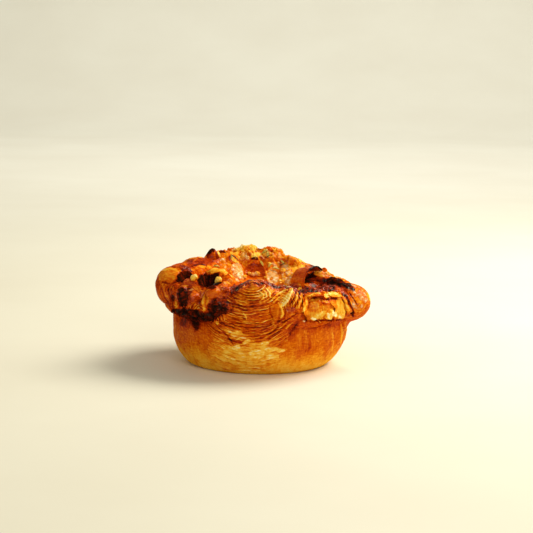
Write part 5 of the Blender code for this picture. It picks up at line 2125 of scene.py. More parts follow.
@dataclass
class CrownDress:
    """The relief and the channels of the crown at some points, worked out in stages."""

    points: Points
    azimuth: Values
    angle: Values
    pitch: float = 0.00150
    lobe_warp: float = 0.75
    whorl_warp: float = 0.6
    seam: float = 0.0007
    rim_reach: float = 0.046
    ring_reach: float = 0.0135
    turn_reach: float = 0.018
    wide_bubble: float = 0.0028
    small_bubble: float = 0.0014
    torn_size: float = 0.0048
    relief_span: tuple[float, float] = (-0.0016, 0.0013)

    def __post_init__(self) -> None:
        """Reads the grains, the layers, what is drawn and the kinds of crust, in this order."""
        self.grain = Texture(self.points)
        self.wide, self.small = (self.grain.bubbles(size) for size in (self.wide_bubble, self.small_bubble))
        self.torn = 1 - np.abs(LAYER_GRAIN.smooth(self.points * np.array((1, 1, 1.7)), self.torn_size))
        self.top = ease(self.angle, 55, 90)
        self.outer = ease(self.angle, 82, 60)
        self.reached = ease(self.angle, -120, -80)
        self._read_layers()
        self._read_drawn()
        self._read_kinds()

    def _read_layers(self) -> None:
        """Reads the layers of the lobes, and over them those of the whorls."""
        away, self.along, self.seams = self._folds()
        self.count = away / self.pitch + self.lobe_warp * self.grain.warp
        self.layer, self.tint, self.crease = SLIVERS.at(self.count, self.along)
        self.strength = np.clip(0.36 + 0.40 * self.grain.patchy, 0.06, 0.8)
        self.strength = self.strength * ease(self.angle, 120, 70) * ease(self.angle, -95, -60)
        warp = self.whorl_warp * self.grain.warp
        for whorl, zone in self._zones():
            layer, tint, crease = whorl_layers(whorl, self.points, warp)
            self.layer, self.tint = mix(self.layer, layer, zone), mix(self.tint, tint, zone)
            self.crease = mix(self.crease, 0.7 * crease, zone)
            self.strength = mix(self.strength, 0.95, zone)
            self.seams = self.seams * (1 - zone)
            rings, round_it, _, _ = whorl.read(self.points)
            self.count = np.where(zone > 0.5, rings + warp, self.count)
            self.along = np.where(zone > 0.5, round_it, self.along)

    def _folds(self) -> tuple[Values, Values, Values]:
        """Reads the layers of the lobes, each curved about a focus of its own.

        Returns:
            How far each point is from its focus, how far round it, and how deep in a seam between lobes.
        """
        gaps = np.stack([distance_from(lobe, self.points) for lobe in CROWN.lobes])
        owner = np.argmin(gaps, axis=0)
        ordered = np.partition(gaps, 1, axis=0)
        seams = np.exp(-(((ordered[1] - ordered[0]) / self.seam) ** 2))
        place = np.array([lobe.azimuth for lobe in CROWN.lobes])[owner]
        focus = np.array(FOCI)[owner]
        side = np.radians(turned(self.azimuth, place)) * self.rim_reach - focus[:, 0]
        rise = np.radians(self.angle) * self.ring_reach - focus[:, 1]
        return np.hypot(side, rise), np.arctan2(side, rise) * self.turn_reach, seams

    def _zones(self) -> list[tuple[Whorl, Values]]:
        """Finds where each whorl shows on the crown.

        Returns:
            The whorls, each with how much it shows, from 0 to 1.
        """
        grain, shown = self.grain, self.grain.front * self.outer
        right, up = grain.sight[:, 0] + 0.9 * grain.patchy, grain.sight[:, 1] + 0.9 * grain.patchy
        big = ease(np.abs(right + 4.6), 14.0, 11.5) * ease(up, 42.0, 39.5) * shown
        small = ease(np.hypot((right - 14.4) / 8.2, (up - 32.4) / 6.2), 1.1, 0.9) * shown
        zones = [(FRONT_WHORL, big), (SMALL_WHORL, small)]
        facing = ease(np.hypot(self.points[:, 0], self.points[:, 1]), 0.036, 0.042) * self.outer
        for whorl in BACK_WHORLS:
            _, _, side, drop = whorl.read(self.points)
            zones.append((whorl, ease(np.hypot(side / 0.013, (drop - 0.006) / 0.012), 1.1, 0.9) * facing))
        return zones

    def _read_drawn(self) -> None:
        """Reads what is drawn on the front, and on what faces it from behind."""
        self.drawn = self.grain.drawn(TONES + STROKES, self.grain.front)
        facing = (1 - self.grain.front) * ease(self.angle, 10, 35) * ease(self.angle, 175, 150)
        behind = self.grain.drawn(REAR_TONES + BACK_STROKES, facing)
        for kept, other in zip(vars(self.drawn).values(), vars(behind).values()):
            kept += other

    def _read_kinds(self) -> None:
        """Reads how calm, bubbly, golden and flaky the crust is and how near the hollows it is, where shade
        is painted, and fades the layers there.
        """
        grain, drawn, angle = self.grain, self.drawn, self.angle
        calm = (grain.front + ease(angle, 40, 70)) * grain.marked(CALMED)
        self.calm = np.clip(calm, 0, 1) * self.reached
        self.smoked = grain.patched(CHARRED)
        bubbly = grain.front * grain.marked(BUBBLED) + 1.6 * self.smoked + drawn.bubbles
        self.bubbly = np.clip(bubbly, 0, 1) * (1 - self.calm)
        self.golden = np.clip(grain.patched(CREAMY), 0, 1) * ease(angle, 30, 60) * (1 - drawn.char)
        layered = (1 - 0.9 * self.bubbly) * (1 - self.calm) * (1 - 0.8 * drawn.calm) * (1 - self.golden)
        self.strength = self.strength * layered
        front = ease(np.abs(turned(self.azimuth, 314)), 20, 12) * ease(np.abs(angle - 4), 60, 40)
        right = ease(np.abs(turned(self.azimuth, 30)), 16, 8) * ease(np.abs(angle - 8), 62, 42)
        self.flaky = np.maximum(front, 0.6 * right) * (1 - drawn.calm) * (1 - self.calm)
        self.pit = np.zeros(len(self.points))
        for hollow in CROWN.hollows:
            self.pit = np.maximum(self.pit, ease(np.abs(distance_from(hollow, self.points)), 0.0009, 0.0003))

    def relief(self) -> Values:
        """How far the crust stands out from the plain crown.

        Returns:
            Heights in metres.
        """
        grain, uneven = self.grain, self.grain.crumb * (1 - self.calm)
        relief = 0.00060 * grain.large + 0.00016 * uneven + 0.00055 * self.strength * (self.layer - 0.35)
        relief = relief - 0.00060 * self.seams * (1 - self.top)
        relief = relief + self.bubbly * (0.00090 * (self.wide - 0.45) + 0.00040 * (self.small - 0.4))
        relief = relief + self.golden * grain.lumps(self.wide, self.small)
        relief = relief + 0.0010 * self.flaky * (self.torn**3 - 0.45) + 0.00030 * self.top * uneven
        return np.clip(relief + self.drawn.lift, *self.relief_span)

    def crust(self) -> Crust:
        """The channels of the crust.

        Returns:
            The crust.
        """
        grain, drawn = self.grain, self.drawn
        char = np.maximum(drawn.char, grain.blackened() * self.reached)
        # the hollows are painted nearly black: a painted shade inside them
        char = np.maximum(char, 0.92 * self.pit)
        coal = 1.02 - 0.12 * self.wide - 0.08 * self.small + 0.10 * grain.crumb + 0.06 * grain.patchy
        # the creases and the seams between lobes take painted shade, with browner crust, through the crease
        # channel
        crease = np.maximum(self.crease * self.strength, 0.75 * self.seams * (1 - self.golden))
        crease = np.maximum(crease, 0.7 * self.flaky * ease(self.torn, 0.78, 0.56)) * (1 - 0.8 * drawn.calm)
        cream = self.golden * (1 - drawn.toned) * grain.creamy(self.small)
        cream = np.maximum(cream, grain.flecked(drawn.cream)) * (1 - char)
        plain = 0.25 * (1 - self.bubbly) * (1 - self.calm) * (1 - drawn.calm)
        flow = flow_of(self.count, self.along, np.maximum(self.strength, plain))
        return Crust(mix(self._bake(), coal, char), crease, self._glaze(char), cream, flow)

    def _bake(self) -> Values:
        """How baked the crust is, before its char.

        Returns:
            Values from 0 to 1.
        """
        grain, drawn, wide, small = self.grain, self.drawn, self.wide, self.small
        bake = 0.585 + 0.10 * grain.large + 0.06 * grain.patchy + 0.005 * self.top
        bake = bake - self.strength * (0.20 * (self.tint - 0.5) + 0.12 * (self.layer - 0.3))
        bake = bake - 0.03 * ease(self.angle, -20, -70)
        bake = bake + self.bubbly * (0.20 * (1 - wide) + 0.12 * (1 - small) - 0.10)
        bake = bake - self.flaky * (0.20 * self.torn**3 - 0.06)
        bake = bake + (0.08 + 0.06 * self.bubbly) * grain.crumb * (1 - 0.7 * self.calm)
        golden = grain.gold(wide, small) + 0.08 * grain.large
        bake = mix(bake + grain.browned() + self.smoked, golden, self.golden)
        return mix(bake, self.bubbly * between(wide, small), drawn.toned) + drawn.tone + drawn.bake

    def _glaze(self, char: Values) -> Values:
        """How glazed the crust is, with glints on the char and none in the hollows.

        Args:
            char: How charred it is.

        Returns:
            Values from 0 to 1.
        """
        grain, drawn = self.grain, self.drawn
        glaze = 0.16 + 0.25 * grain.large - 0.15 * self.top + grain.front * grain.marked(GLAZED)
        glaze = (glaze - 0.4 * self.flaky - 0.3 * self.golden) * (1 - drawn.toned) + drawn.gloss
        glaze = np.clip(glaze, 0, 1) * (1 - 0.9 * char) + 0.85 * char * ease(grain.crumb, 0.2, 0.5)
        return glaze * (1 - self.pit)


@dataclass
class CrownFolds:
    """The folded crown, cut across into sectors that meet."""

    sectors: int = 8
    columns: int = 164
    rows: int = 230
    inner: float = 0.45
    tuck: float = 0.00006

    def build(self) -> list[bpy.types.Object]:
        """Shapes and colours every sector.

        Returns:
            Their meshes.
        """
        return [self._sector(index) for index in range(self.sectors)]

    def _sector(self, index: int) -> bpy.types.Object:
        """Shapes and colours one sector: a tube round the ring, closed by a cap at each end.

        Args:
            index: Which sector, from 0.

        Returns:
            Its mesh.
        """
        columns, rows = int(self.columns * FINE), int(self.rows * FINE)
        rings = columns + 4
        span = 360 / self.sectors
        step = span / columns
        piece, unit = add_ball(f"crown_folds_{index + 1}", rows, rings)
        ring = np.round(polar_of(unit) * rings)
        pole, tail = (ring < 1) | (ring > rings - 1), (ring < 2) | (ring > rings - 2)
        azimuth = index * span + np.clip(ring - 2, -1, columns + 1) * step
        even = np.arctan2(unit[:, 1], unit[:, 0])
        angle = np.degrees(even - self.inner * np.sin(even - math.radians(45)))
        origin, direction = CROWN.rays(azimuth, angle)
        travel = CROWN.cast(origin, direction, SWELLS)
        dress = CrownDress(origin + direction * travel[:, None], azimuth, angle)
        travel = np.where(pole, 0, travel + dress.relief() - self.tuck * tail)
        write_points(piece, origin + direction * travel[:, None])
        dress.crust().keep_on(piece)
        return piece


@dataclass(frozen=True)
class Flake:
    """A torn flake of crust that lies on the crown with its lower edge lifted."""

    azimuth: float
    angle: float
    half_wide: float
    half_tall: float
    turn: float
    thick: float = 0.00045
    lift: float = 0.0007
    peel: float = 0.0013
    squareness: float = 0.78
    strand: float = 0.0012
    rim_reach: float = 0.050
    ring_reach: float = 0.0135

    def build(self, index: int) -> bpy.types.Object:
        """Shapes and colours the flake, from a flattened sphere draped on the crown.

        Args:
            index: Which flake it is, from 0.

        Returns:
            Its mesh.
        """
        piece, unit = add_ball(f"flake_{index + 1}", 120, 60)
        around = np.arctan2(unit[:, 1], unit[:, 0])
        rim = np.stack([np.cos(around), np.sin(around), np.full_like(around, index)], axis=1)
        flat = np.hypot(unit[:, 0], unit[:, 1])
        blunt = np.maximum(np.max(np.abs(rim[:, :2]), axis=1), self.squareness)
        out = flat / blunt * (1 + 0.22 * CRUMB_GRAIN.fractal(rim, 0.5))
        across, upward = out * rim[:, 0], out * rim[:, 1]
        turn = math.radians(self.turn)
        wide, tall = across * self.half_wide, upward * self.half_tall
        azimuth = self.azimuth + np.degrees((wide * math.cos(turn) - tall * math.sin(turn)) / self.rim_reach)
        angle = self.angle + np.degrees((wide * math.sin(turn) + tall * math.cos(turn)) / self.ring_reach)
        base, direction = CROWN.surface(azimuth, angle)
        grain = Texture(base)
        wrinkle = 0.00045 * LAYER_GRAIN.smooth(base * np.array((1, 1, 0.6)), 0.0026) + 0.00020 * grain.crumb
        lift = self.lift + self.peel * np.maximum(0, -upward) ** 1.5 + wrinkle + self.thick * unit[:, 2]
        write_points(piece, base + direction * lift[:, None])
        drawn = grain.drawn(TONES + STROKES, np.ones(len(base)))
        bake = 0.46 + 0.12 * grain.large + 0.14 * grain.patchy + 0.12 * grain.crumb
        bake = bake * (1 - drawn.toned) + drawn.tone + 0.8 * drawn.bake + 0.10 * ease(upward, 0.2, 1.0)
        # the flake's rim is darkened through the crease channel: a painted shade along its edge
        crease = 0.6 * ease(flat, 0.84, 1.0) * ease(grain.patchy, -0.5, 0.5)
        flow = flow_of(wide / self.strand, tall, 0.30 * (1 - 0.6 * drawn.calm))
        bake = mix(bake, 0.92, drawn.char)
        Crust(bake, crease, 0.15 + 0.8 * drawn.gloss, grain.flecked(drawn.cream), flow).keep_on(piece)
        return piece


@dataclass(frozen=True)
class CurledFlap:
    """The curled flap on the right: a bent sheet of crust, charred along its top, that opens to the front."""

    place: tuple[float, float, float] = (0.0240, 0.0018, 0.0410)
    turn: float = 45
    radius: float = 0.0074
    reach: float = 0.0050
    middle: float = 118
    sweep: float = 74
    opening: tuple[float, float] = (0.05, -0.10)
    thick: float = 0.0007
    glaze: float = 0.45

    def build(self) -> bpy.types.Object:
        """Shapes and colours the flap.

        Returns:
            Its mesh.
        """
        deselect()
        bpy.ops.mesh.primitive_grid_add(x_subdivisions=110, y_subdivisions=64, size=2)
        piece = named("curled_flap")
        flat = read_points(piece)
        across, along = flat[:, 0], flat[:, 1]
        sweep = np.radians(self.middle - self.sweep * across)
        radius = self.radius * (1 + self.opening[0] * across) * (1 + self.opening[1] * along)
        points = np.stack([radius * np.cos(sweep), self.reach * along, radius * np.sin(sweep)], axis=1)
        grain = Texture(points + 0.1)
        swell = 0.00045 * grain.large + 0.00030 * grain.patchy + 0.00010 * grain.crumb
        ragged = 0.0007 * grain.patchy * ease(np.abs(along), 0.7, 1.0) * np.sign(along)
        points = points + np.stack([swell * np.cos(sweep), ragged, swell * np.sin(sweep)], axis=1)
        write_points(piece, points)
        bake = 0.62 + 0.05 * grain.large + 0.05 * grain.patchy + 0.04 * grain.crumb
        bake = bake - 0.10 * ease(across, -0.3, -0.8)
        rim = ease(along + 0.10 * grain.patchy, -0.80, -0.95)
        bake = mix(bake, 0.98, rim * ease(across + 0.10 * grain.patchy, -0.20, 0.20)) + 0.08 * rim
        even_crust(points, bake, self.glaze).keep_on(piece)
        solid = piece.modifiers.new("thickness", "SOLIDIFY")
        solid.thickness, solid.offset = self.thick, 0
        apply_all(piece)
        turn = Matrix.Rotation(math.radians(self.turn), 4, "Z")
        piece.data.transform(Matrix.Translation(self.place) @ turn)
        return piece


@dataclass(frozen=True)
class NutBits:
    """The bits of nut in the hollows, pale on top and darker below, where shade is painted on them."""

    bits: tuple[tuple[tuple[float, float, float], tuple[float, float, float]], ...] = (
        ((-0.0325, -0.0310, 0.0470), (0.0018, 0.0017, 0.0020)),
        ((-0.0205, -0.0306, 0.0458), (0.0017, 0.0017, 0.0020)),
    )
    lumps: float = 0.30
    glaze: float = 0.55

    def build(self) -> bpy.types.Object:
        """Shapes and colours the bits.

        Returns:
            Their mesh.
        """
        made = []
        for index, (middle, half) in enumerate(self.bits):
            bit, unit = add_ball("nut_bit", 56, 36)
            swell = 1 + self.lumps * LARGE_GRAIN.smooth(unit + index * 3.1, 0.8)
            swell = swell + 0.07 * CRUMB_GRAIN.smooth(unit + index, 0.25)
            points = unit * swell[:, None] * np.array(half) + np.array(middle)
            write_points(bit, points)
            # darker below and towards the right: a painted shade on their undersides
            shaded_below = ease(unit[:, 2] - 0.5 * unit[:, 0], 0.3, -0.9)
            bake = 0.17 + 0.42 * shaded_below + 0.10 * PATCH_GRAIN.smooth(points, 0.0012)
            even_crust(points, bake, self.glaze).keep_on(bit)
            made.append(bit)
        return join(made, "nut_bits")


FLAKES = (
    Flake(310, 15, 0.0040, 0.0030, 4),
    Flake(322, 12, 0.0032, 0.0058, 6),
    Flake(321, 40, 0.0044, 0.0020, -4, 0.0008),
    Flake(302, 13, 0.0044, 0.0042, 8),
    Flake(303.5, 3, 0.0048, 0.0011, 24, 0.0006),
    Flake(312, 3, 0.0032, 0.0022, -12),
    Flake(321, 2, 0.0026, 0.0016, 10, 0.0006),
    Flake(306, 41, 0.0028, 0.0010, -6, 0.0006),
    Flake(316, 24, 0.0030, 0.0024, -20),
    Flake(297, 22, 0.0020, 0.0040, -8),
    Flake(329, 14, 0.0022, 0.0042, 4),
)


class Dough:
    """Everything that stands for the dough."""

    def __init__(self, finishes: Finishes) -> None:
        """Keeps the finishes."""
        self.finishes = finishes

    def build(self) -> None:
        """Builds the cup, the crown and what is on them."""
        pieces = [CupWall().build(), CutFace("front_cut_face", FRONT_WHORL).build()]
        for index, whorl in enumerate(BACK_WHORLS):
            pieces.append(CutFace(f"back_cut_face_{index + 1}", whorl, 0.0180, 260, 120).build())
        pieces.extend(CrownFolds().build())
        pieces.extend(flake.build(index) for index, flake in enumerate(FLAKES))
        pieces.append(CurledFlap().build())
        pieces.append(NutBits().build())
        for piece in pieces:
            place_piece(piece, self.finishes.crust, "dough")


# ---------------------------------------------------------------- the filling


CHEESE = (
    Mark(21.0, 49.0, 4.0, 2.6, -10, 0.5),
    Mark(-16.6, 41.6, 3.0, 3.0, 0, 0.5),
)
FILLING_STROKES = (
    Stroke(((-7.6, 50.3), (-8.4, 46.4), (-8.2, 42.4)), 0.4, -0.3, 0.10),
    Stroke(((1.8, 48.4), (3.1, 45.0), (3.3, 41.2)), 0.5, 0.3, -0.10, gloss=0.6),
    Stroke(((18.4, 51.0), (19.4, 47.0), (18.6, 43.0)), 0.6, -0.2, 0.10),
)


@dataclass
class Filling:
    """The baked cheese in the hollow, blistered and browned, with its crumbs and herbs."""

    centre: tuple[float, float] = (0.0010, 0.0065)
    radius: float = 0.0290
    waves: tuple[tuple[float, float, float], ...] = ((3, 0.6, 0.0006), (7, 0.0, 0.0005))
    notches: tuple[tuple[float, float, float], ...] = ((0, 32, 0.0135), (222, 24, 0.0030))
    floor: float = 0.0365
    rise: float = 2.2
    depth: float = 0.0080
    lift: float = 0.0006
    columns: int = 400
    rows: int = 200
    rim_steps: int = 96
    rim_rounds: int = 6
    brim: float = 0.86
    wide_blister: float = 0.0036
    small_blister: float = 0.0018
    blisters: tuple[tuple[float, float, float, float], ...] = (
        (134, 0.68, 0.0055, 0.0014),
        (76, 0.60, 0.0050, 0.0013),
        (48, 0.72, 0.0052, 0.0015),
        (103, 0.62, 0.0048, -0.0010),
        (160, 0.72, 0.0050, 0.0012),
        (192, 0.60, 0.0060, 0.0010),
        (300, 0.55, 0.0060, 0.0010),
        (250, 0.60, 0.0050, -0.0008),
    )
    leaves: tuple[tuple[float, float, float], ...] = (
        (91, 0.77, 30),
        (79, 0.73, -25),
        (84, 0.91, 5),
        (65, 0.86, 40),
        (88, 0.95, -50),
        (128, 0.92, -35),
        (160, 0.86, 60),
        (70, 0.68, 75),
        (240, 0.80, 15),
    )
    seed: int = 7
    leaf_lengths: tuple[float, float] = (0.0018, 0.0025)
    leaf_width: float = 0.28
    leaf_arch: float = 0.0004
    leaf_lift: float = 0.0005
    crumbs: int = 11
    crumb_azimuths: tuple[float, float] = (30, 150)
    crumb_shares: tuple[float, float] = (0.45, 0.85)
    crumb_sizes: tuple[float, float] = (0.0010, 0.0018)
    twig_radius: float = 0.00028
    twig_arch: float = 0.10
    twigs: tuple[tuple[tuple[float, float, float], tuple[float, float, float]], ...] = (
        ((-0.0162, 0.0270, 0.0510), (-0.0116, 0.0266, 0.0478)),
        ((0.0102, 0.0264, 0.0456), (0.0130, 0.0270, 0.0470)),
        ((-0.0226, 0.0168, 0.0470), (-0.0250, 0.0166, 0.0456)),
        ((-0.0045, 0.0286, 0.0494), (-0.0014, 0.0290, 0.0492)),
        ((0.0030, 0.0296, 0.0496), (0.0050, 0.0298, 0.0506)),
    )
    rim: Values = field(default_factory=lambda: np.zeros(0))

    def outline(self, azimuth: Values) -> Values:
        """The filling's radius about its own centre.

        Args:
            azimuth: Degrees round its centre.

        Returns:
            Radii in metres.
        """
        radius = np.full(np.shape(azimuth), self.radius)
        for waves, phase, height in self.waves:
            radius = radius + height * np.sin(waves * np.radians(azimuth) + phase)
        for middle, spread, depth in self.notches:
            radius = radius - depth * hump(turned(azimuth, middle), 0, spread)
        return radius

    def plan(self, azimuth: Values, radius: Values) -> Points:
        """Points about the filling's centre, in plan.

        Args:
            azimuth: Degrees round its centre.
            radius: How far out they are.

        Returns:
            The points, at height 0.
        """
        around = np.radians(azimuth)
        x, y = self.centre[0] + radius * np.cos(around), self.centre[1] + radius * np.sin(around)
        return np.stack([x, y, np.zeros_like(x)], axis=1)

    def find_rim(self) -> None:
        """Finds the height of the crown under the filling's edge, smoothed."""
        azimuth = np.arange(self.rim_steps) * 360 / self.rim_steps
        origin = self.plan(azimuth, self.outline(azimuth))
        origin[:, 2] = CUP.top
        rise = CROWN.cast(origin, np.tile((0.0, 0.0, 1.0), (len(origin), 1)), SWELLS)
        rim = CUP.top + rise + self.lift
        for _ in range(self.rim_rounds):
            rim = (np.roll(rim, 1) + rim + np.roll(rim, -1)) / 3
        self.rim = rim

    def top(self, share: Values, azimuth: Values) -> Values:
        """The height of the skin.

        Args:
            share: Shares of the way out from the centre.
            azimuth: Degrees round the centre.

        Returns:
            Heights above the table.
        """
        steps = np.append(np.arange(self.rim_steps), self.rim_steps) * 360 / self.rim_steps
        edge = np.interp(azimuth % 360, steps, np.append(self.rim, self.rim[0]))
        height = self.floor + (edge - self.floor) * share**self.rise
        here = self.plan(azimuth, self.radius * share)
        for middle, reach, across, rise in self.blisters:
            there = self.plan(np.array([float(middle)]), np.array([self.radius * reach]))
            height = height + rise * hump(np.linalg.norm(here - there, axis=1), 0, across)
        return height

    def points_at(self, share: Values, azimuth: Values) -> Points:
        """Points of the skin.

        Args:
            share: Shares of the way out from the centre.
            azimuth: Degrees round the centre.

        Returns:
            The points.
        """
        return raised(self.plan(azimuth, self.outline(azimuth) * share), self.top(share, azimuth))

    def build(self, finishes: Finishes) -> None:
        """Builds the filling and what lies on it.

        Args:
            finishes: The finishes of the pastry.
        """
        self.find_rim()
        rng = random.Random(self.seed)
        place_piece(self._skin(), finishes.filling, "filling")
        place_piece(self._herbs(rng), finishes.herb, "filling")
        place_piece(self._crumbs(rng), finishes.filling, "filling")
        place_piece(self._twigs(), finishes.twig, "filling")

    def _skin(self) -> bpy.types.Object:
        """The skin and belly of the filling, from a sphere.

        Returns:
            Their mesh.
        """
        piece, unit = add_ball("filling_skin", int(self.columns * FINE), int(self.rows * FINE))
        azimuth, polar = azimuth_of(unit), polar_of(unit)
        upper = polar < self.brim
        share = np.clip(np.where(upper, polar / self.brim, (1 - polar) / (1 - self.brim)), 0, 1)
        plain = self.points_at(share, azimuth)
        ragged = 0.0011 * PATCH_GRAIN.smooth(plain, 0.0042) + 0.0006 * LARGE_GRAIN.smooth(plain, 0.0019)
        ragged = ragged * ease(share, 0.84, 1.0)
        plain += raised(outward_at(azimuth), 0.35 + 0 * azimuth) * ragged[:, None]
        relief, crust = self._dress(plain, share)
        belly = self.depth * np.sqrt(np.clip(1 - share**2, 0, 1))
        write_points(piece, raised(plain, plain[:, 2] + np.where(upper, relief, -belly)))
        crust.keep_on(piece)
        return piece

    def _crusty(self, grain: Texture, share: Values, near: Values) -> Values:
        """Where the skin has baked into a golden crust: at its far edge, and in patches on its near side.

        Args:
            grain: The grains there.
            share: Shares of the way out from the centre.
            near: How near the front each point is.

        Returns:
            Values from 0 to 1.
        """
        out = share + 0.06 * grain.patchy
        far = ease(out, 0.80, 0.90) * ease(grain.points[:, 1], -0.004, 0.010)
        far = far * ease(grain.points[:, 0], -0.024, -0.017)
        patches = ease(grain.patchy + 0.8 * grain.large, -0.05, 0.35)
        return np.maximum(far, near * np.maximum(0.85 * patches, ease(out, 0.84, 0.92)))

    def _dress(self, plain: Points, share: Values) -> tuple[Values, Crust]:
        """Works out the skin's relief and channels.

        Args:
            plain: The plain skin.
            share: Shares of the way out from the centre.

        Returns:
            The relief in metres, and the crust.
        """
        grain = Texture(plain)
        blister, small = grain.bubbles(self.wide_blister), grain.bubbles(self.small_blister)
        wrinkle = groove(LAYER_GRAIN.smooth(plain, 0.0060) * 1.3, 0.12)
        near = ease(plain[:, 1] + 0.002 * grain.warp, 0.002, -0.004)
        crusty = self._crusty(grain, share, near)
        drawn = grain.drawn(REAR_TONES + FILLING_STROKES, np.ones(len(plain)))
        cream = grain.flecked(np.clip(grain.marked(CHEESE), 0, 1))
        relief = 0.00055 * grain.large + 0.00050 * cream * (blister - 0.45) - 0.00030 * wrinkle * (1 - cream)
        relief = relief + (crusty * (1 - drawn.calm) + 0.7 * drawn.bubbles) * grain.lumps(blister, small)
        relief = (relief + 0.00010 * grain.crumb + drawn.lift) * ease(share, 1.0, 0.93)
        bake = 0.54 + 0.09 * grain.large + 0.06 * grain.patchy + 0.05 * grain.crumb
        bake = mix(bake + 0.12 * near * (0.6 - blister), grain.gold(blister, small), crusty)
        bake = bake * (1 - drawn.toned) + drawn.tone + drawn.bubbles * between(blister, small) + drawn.bake
        cream = np.maximum(cream * (1 - crusty), crusty * grain.creamy(small))
        cream = np.maximum(cream * (1 - drawn.toned), grain.flecked(drawn.cream))
        glaze = (0.16 + 0.3 * grain.large - 0.2 * crusty) * (1 - drawn.toned) + drawn.gloss
        # the wrinkles go into the crease channel, and so are darkened as painted shade
        return relief, Crust(bake, 0.35 * wrinkle * (1 - cream), np.clip(glaze, 0, 1), cream, no_flow(plain))

    def _herbs(self, rng: random.Random) -> bpy.types.Object:
        """The herb leaves: flattened, arched spindles.

        Args:
            rng: Draws their lengths.

        Returns:
            Their mesh.
        """
        made = []
        for azimuth, share, turn in self.leaves:
            place, facing = self._seat(azimuth, share)
            length = rng.uniform(*self.leaf_lengths)
            leaf, unit = add_ball("herb_leaf", 16, 12)
            along, side = unit[:, 2] * length, unit[:, 0] * length * self.leaf_width
            lift = self.leaf_arch * (unit[:, 1] + 1 - unit[:, 2] ** 2) + 0.0003 * np.abs(unit[:, 0])
            matrix = facing.to_track_quat("Z", "X").to_matrix() @ Matrix.Rotation(math.radians(turn), 3, "Z")
            local = np.stack([along, side, lift], axis=1)
            write_points(leaf, local @ np.array(matrix).T + np.array(place + facing * self.leaf_lift))
            made.append(leaf)
        return join(made, "herb_leaves")

    def _crumbs(self, rng: random.Random) -> bpy.types.Object:
        """The crumbs: lumpy balls, half sunk in the skin.

        Args:
            rng: Draws their places and sizes.

        Returns:
            Their mesh.
        """
        made = []
        for index in range(self.crumbs):
            azimuth, share = rng.uniform(*self.crumb_azimuths), rng.uniform(*self.crumb_shares)
            size = rng.uniform(*self.crumb_sizes)
            place, _ = self._seat(azimuth, share)
            crumb, unit = add_ball("crumb", 36, 24)
            swell = 1 + 0.35 * LARGE_GRAIN.fractal(unit + index * 2.3, 0.9)
            points = unit * swell[:, None] * np.array((size, size, size * 0.7)) + np.array(place)
            write_points(crumb, points)
            grain = Texture(points)
            bake = 0.46 + 0.16 * grain.crumb + 0.14 * grain.patchy + 0.16 * unit[:, 1]
            even_crust(points, bake, 0.2, 0.7 * ease(grain.crumb + grain.patchy, 0.0, 0.7)).keep_on(crumb)
            made.append(crumb)
        return join(made, "crumbs")

    def _twigs(self) -> bpy.types.Object:
        """The bits of herb stalk: thin, bent spindles from one end to the other.

        Returns:
            Their mesh.
        """
        made = []
        for start, end in self.twigs:
            way = Vector(end) - Vector(start)
            twig, unit = add_ball("herb_stalk", 12, 16)
            turn = np.array(way.to_track_quat("Z", "X").to_matrix())
            thick = raised(unit, 0 * unit[:, 2]) * self.twig_radius
            middle = np.array(start) + np.outer((unit[:, 2] + 1) / 2, np.array(way))
            middle[:, 2] += self.twig_arch * way.length * (1 - unit[:, 2] ** 2)
            write_points(twig, thick @ turn.T + middle)
            made.append(twig)
        return join(made, "herb_stalks")

    def _seat(self, azimuth: float, share: float) -> tuple[Vector, Vector]:
        """Finds a place on the skin.

        Args:
            azimuth: Degrees round the centre.
            share: The share of the way out from it.

        Returns:
            The place, and the way that the skin faces there.
        """
        shares = np.array((share, share + 0.05, share))
        places = self.points_at(shares, np.array((azimuth, azimuth, azimuth + 4.0)))
        here, out, along = (Vector(place) for place in places)
        return here, (out - here).cross(along - here).normalized()


# ---------------------------------------------------------------- the stage


@dataclass(frozen=True)
class Lamp:
    """A soft square lamp: where it hangs, how wide it is, its watts, its colour and what it faces."""

    name: str
    place: tuple[float, float, float]
    size: float
    power: float
    colour: tuple[float, float, float]
    target: tuple[float, float, float] = (0.0, 0.0, 0.03)

    def hang(self) -> None:
        """Adds the lamp to the scene."""
        lamp = bpy.data.objects.new(self.name, bpy.data.lights.new(self.name, "AREA"))
        bpy.context.scene.collection.objects.link(lamp)
        lamp.location = self.place
        way = Vector(self.target) - Vector(self.place)
        lamp.rotation_euler = way.to_track_quat("-Z", "Y").to_euler()
        lamp.data.size = self.size
        lamp.data.energy = self.power
        lamp.data.color = self.colour


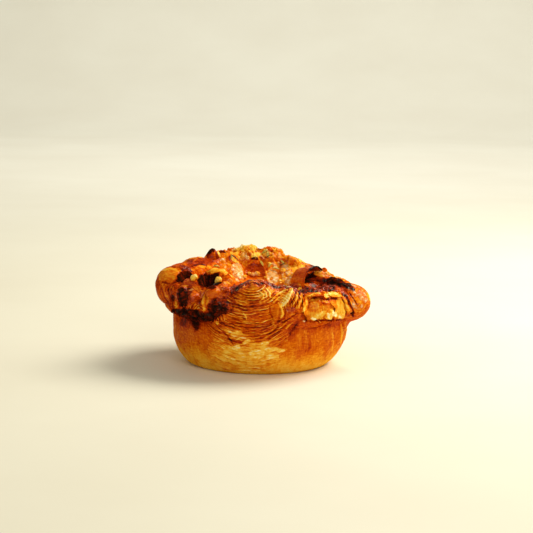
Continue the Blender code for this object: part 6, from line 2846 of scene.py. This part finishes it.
@dataclass(frozen=True)
class Stage:
    """The pale table, the light and the camera."""

    lens: float = 119
    half_table: float = 3.0
    bend_start: float = 1.6
    bend_run: float = 0.8
    bend_rise: float = 0.4
    table_drop: float = 0.00002
    room_colour: tuple[float, float, float, float] = (1.0, 0.955, 0.72, 1)
    room_strength: float = 0.40
    lamps: tuple[Lamp, ...] = (
        Lamp("key_light", (0.42, 0.20, 0.55), 0.44, 6.5, (1.0, 0.93, 0.74)),
        Lamp("front_light", (0.20, -0.80, 0.42), 0.40, 1.9, (1.0, 0.94, 0.78)),
        Lamp("backdrop_light", (0.2, 1.1, 1.1), 1.2, 13.4, (1.0, 0.975, 0.89), (0.1, 2.2, 0.1)),
    )

    def build(self, finishes: Finishes) -> None:
        """Builds the floor, the camera and the light.

        Args:
            finishes: Holds the table's finish.
        """
        self._floor(finishes)
        self._camera()
        for lamp in self.lamps:
            lamp.hang()
        world = bpy.data.worlds.new("soft_room")
        world.use_nodes = True
        world.node_tree.nodes["Background"].inputs[0].default_value = self.room_colour
        world.node_tree.nodes["Background"].inputs[1].default_value = self.room_strength
        bpy.context.scene.world = world
        bpy.context.scene.view_settings.view_transform = "Standard"

    def _floor(self, finishes: Finishes) -> None:
        """The table, swept up behind into a backdrop.

        Args:
            finishes: Holds the table's finish.
        """
        deselect()
        bpy.ops.mesh.primitive_grid_add(x_subdivisions=8, y_subdivisions=160, size=2)
        floor = named("table")
        points = read_points(floor)
        across, back = points[:, 0] * self.half_table, points[:, 1] * self.half_table
        bend = np.clip((back - self.bend_start) / self.bend_run, 0, None)
        rise = np.where(bend < 1, bend**2 * self.bend_rise, self.bend_rise + (bend - 1) * 0.8)
        depth = np.where(bend < 1, back, self.bend_start + self.bend_run + (bend - 1) * 0.1)
        write_points(floor, np.stack([across, depth, rise - self.table_drop], axis=1))
        floor.data.shade_smooth()
        floor.data.materials.append(finishes.floor)

    def _camera(self) -> None:
        """The camera, a little above the table and rolled a little."""
        camera = bpy.data.objects.new("camera", bpy.data.cameras.new("camera"))
        bpy.context.scene.collection.objects.link(camera)
        camera.location = SIGHT.eye + AXIS
        camera.rotation_euler = SIGHT.turn.to_euler()
        camera.data.lens = self.lens
        camera.data.sensor_width = 36
        camera.data.clip_end = 20
        bpy.context.scene.camera = camera


def main() -> None:
    """Builds the pastry and its stage, in order."""
    logging.basicConfig(level=logging.INFO, format="%(name)s: %(message)s")
    finishes = Finishes()
    Dough(finishes).build()
    Filling().build(finishes)
    Stage().build(finishes)


if __name__ == "__main__":
    main()
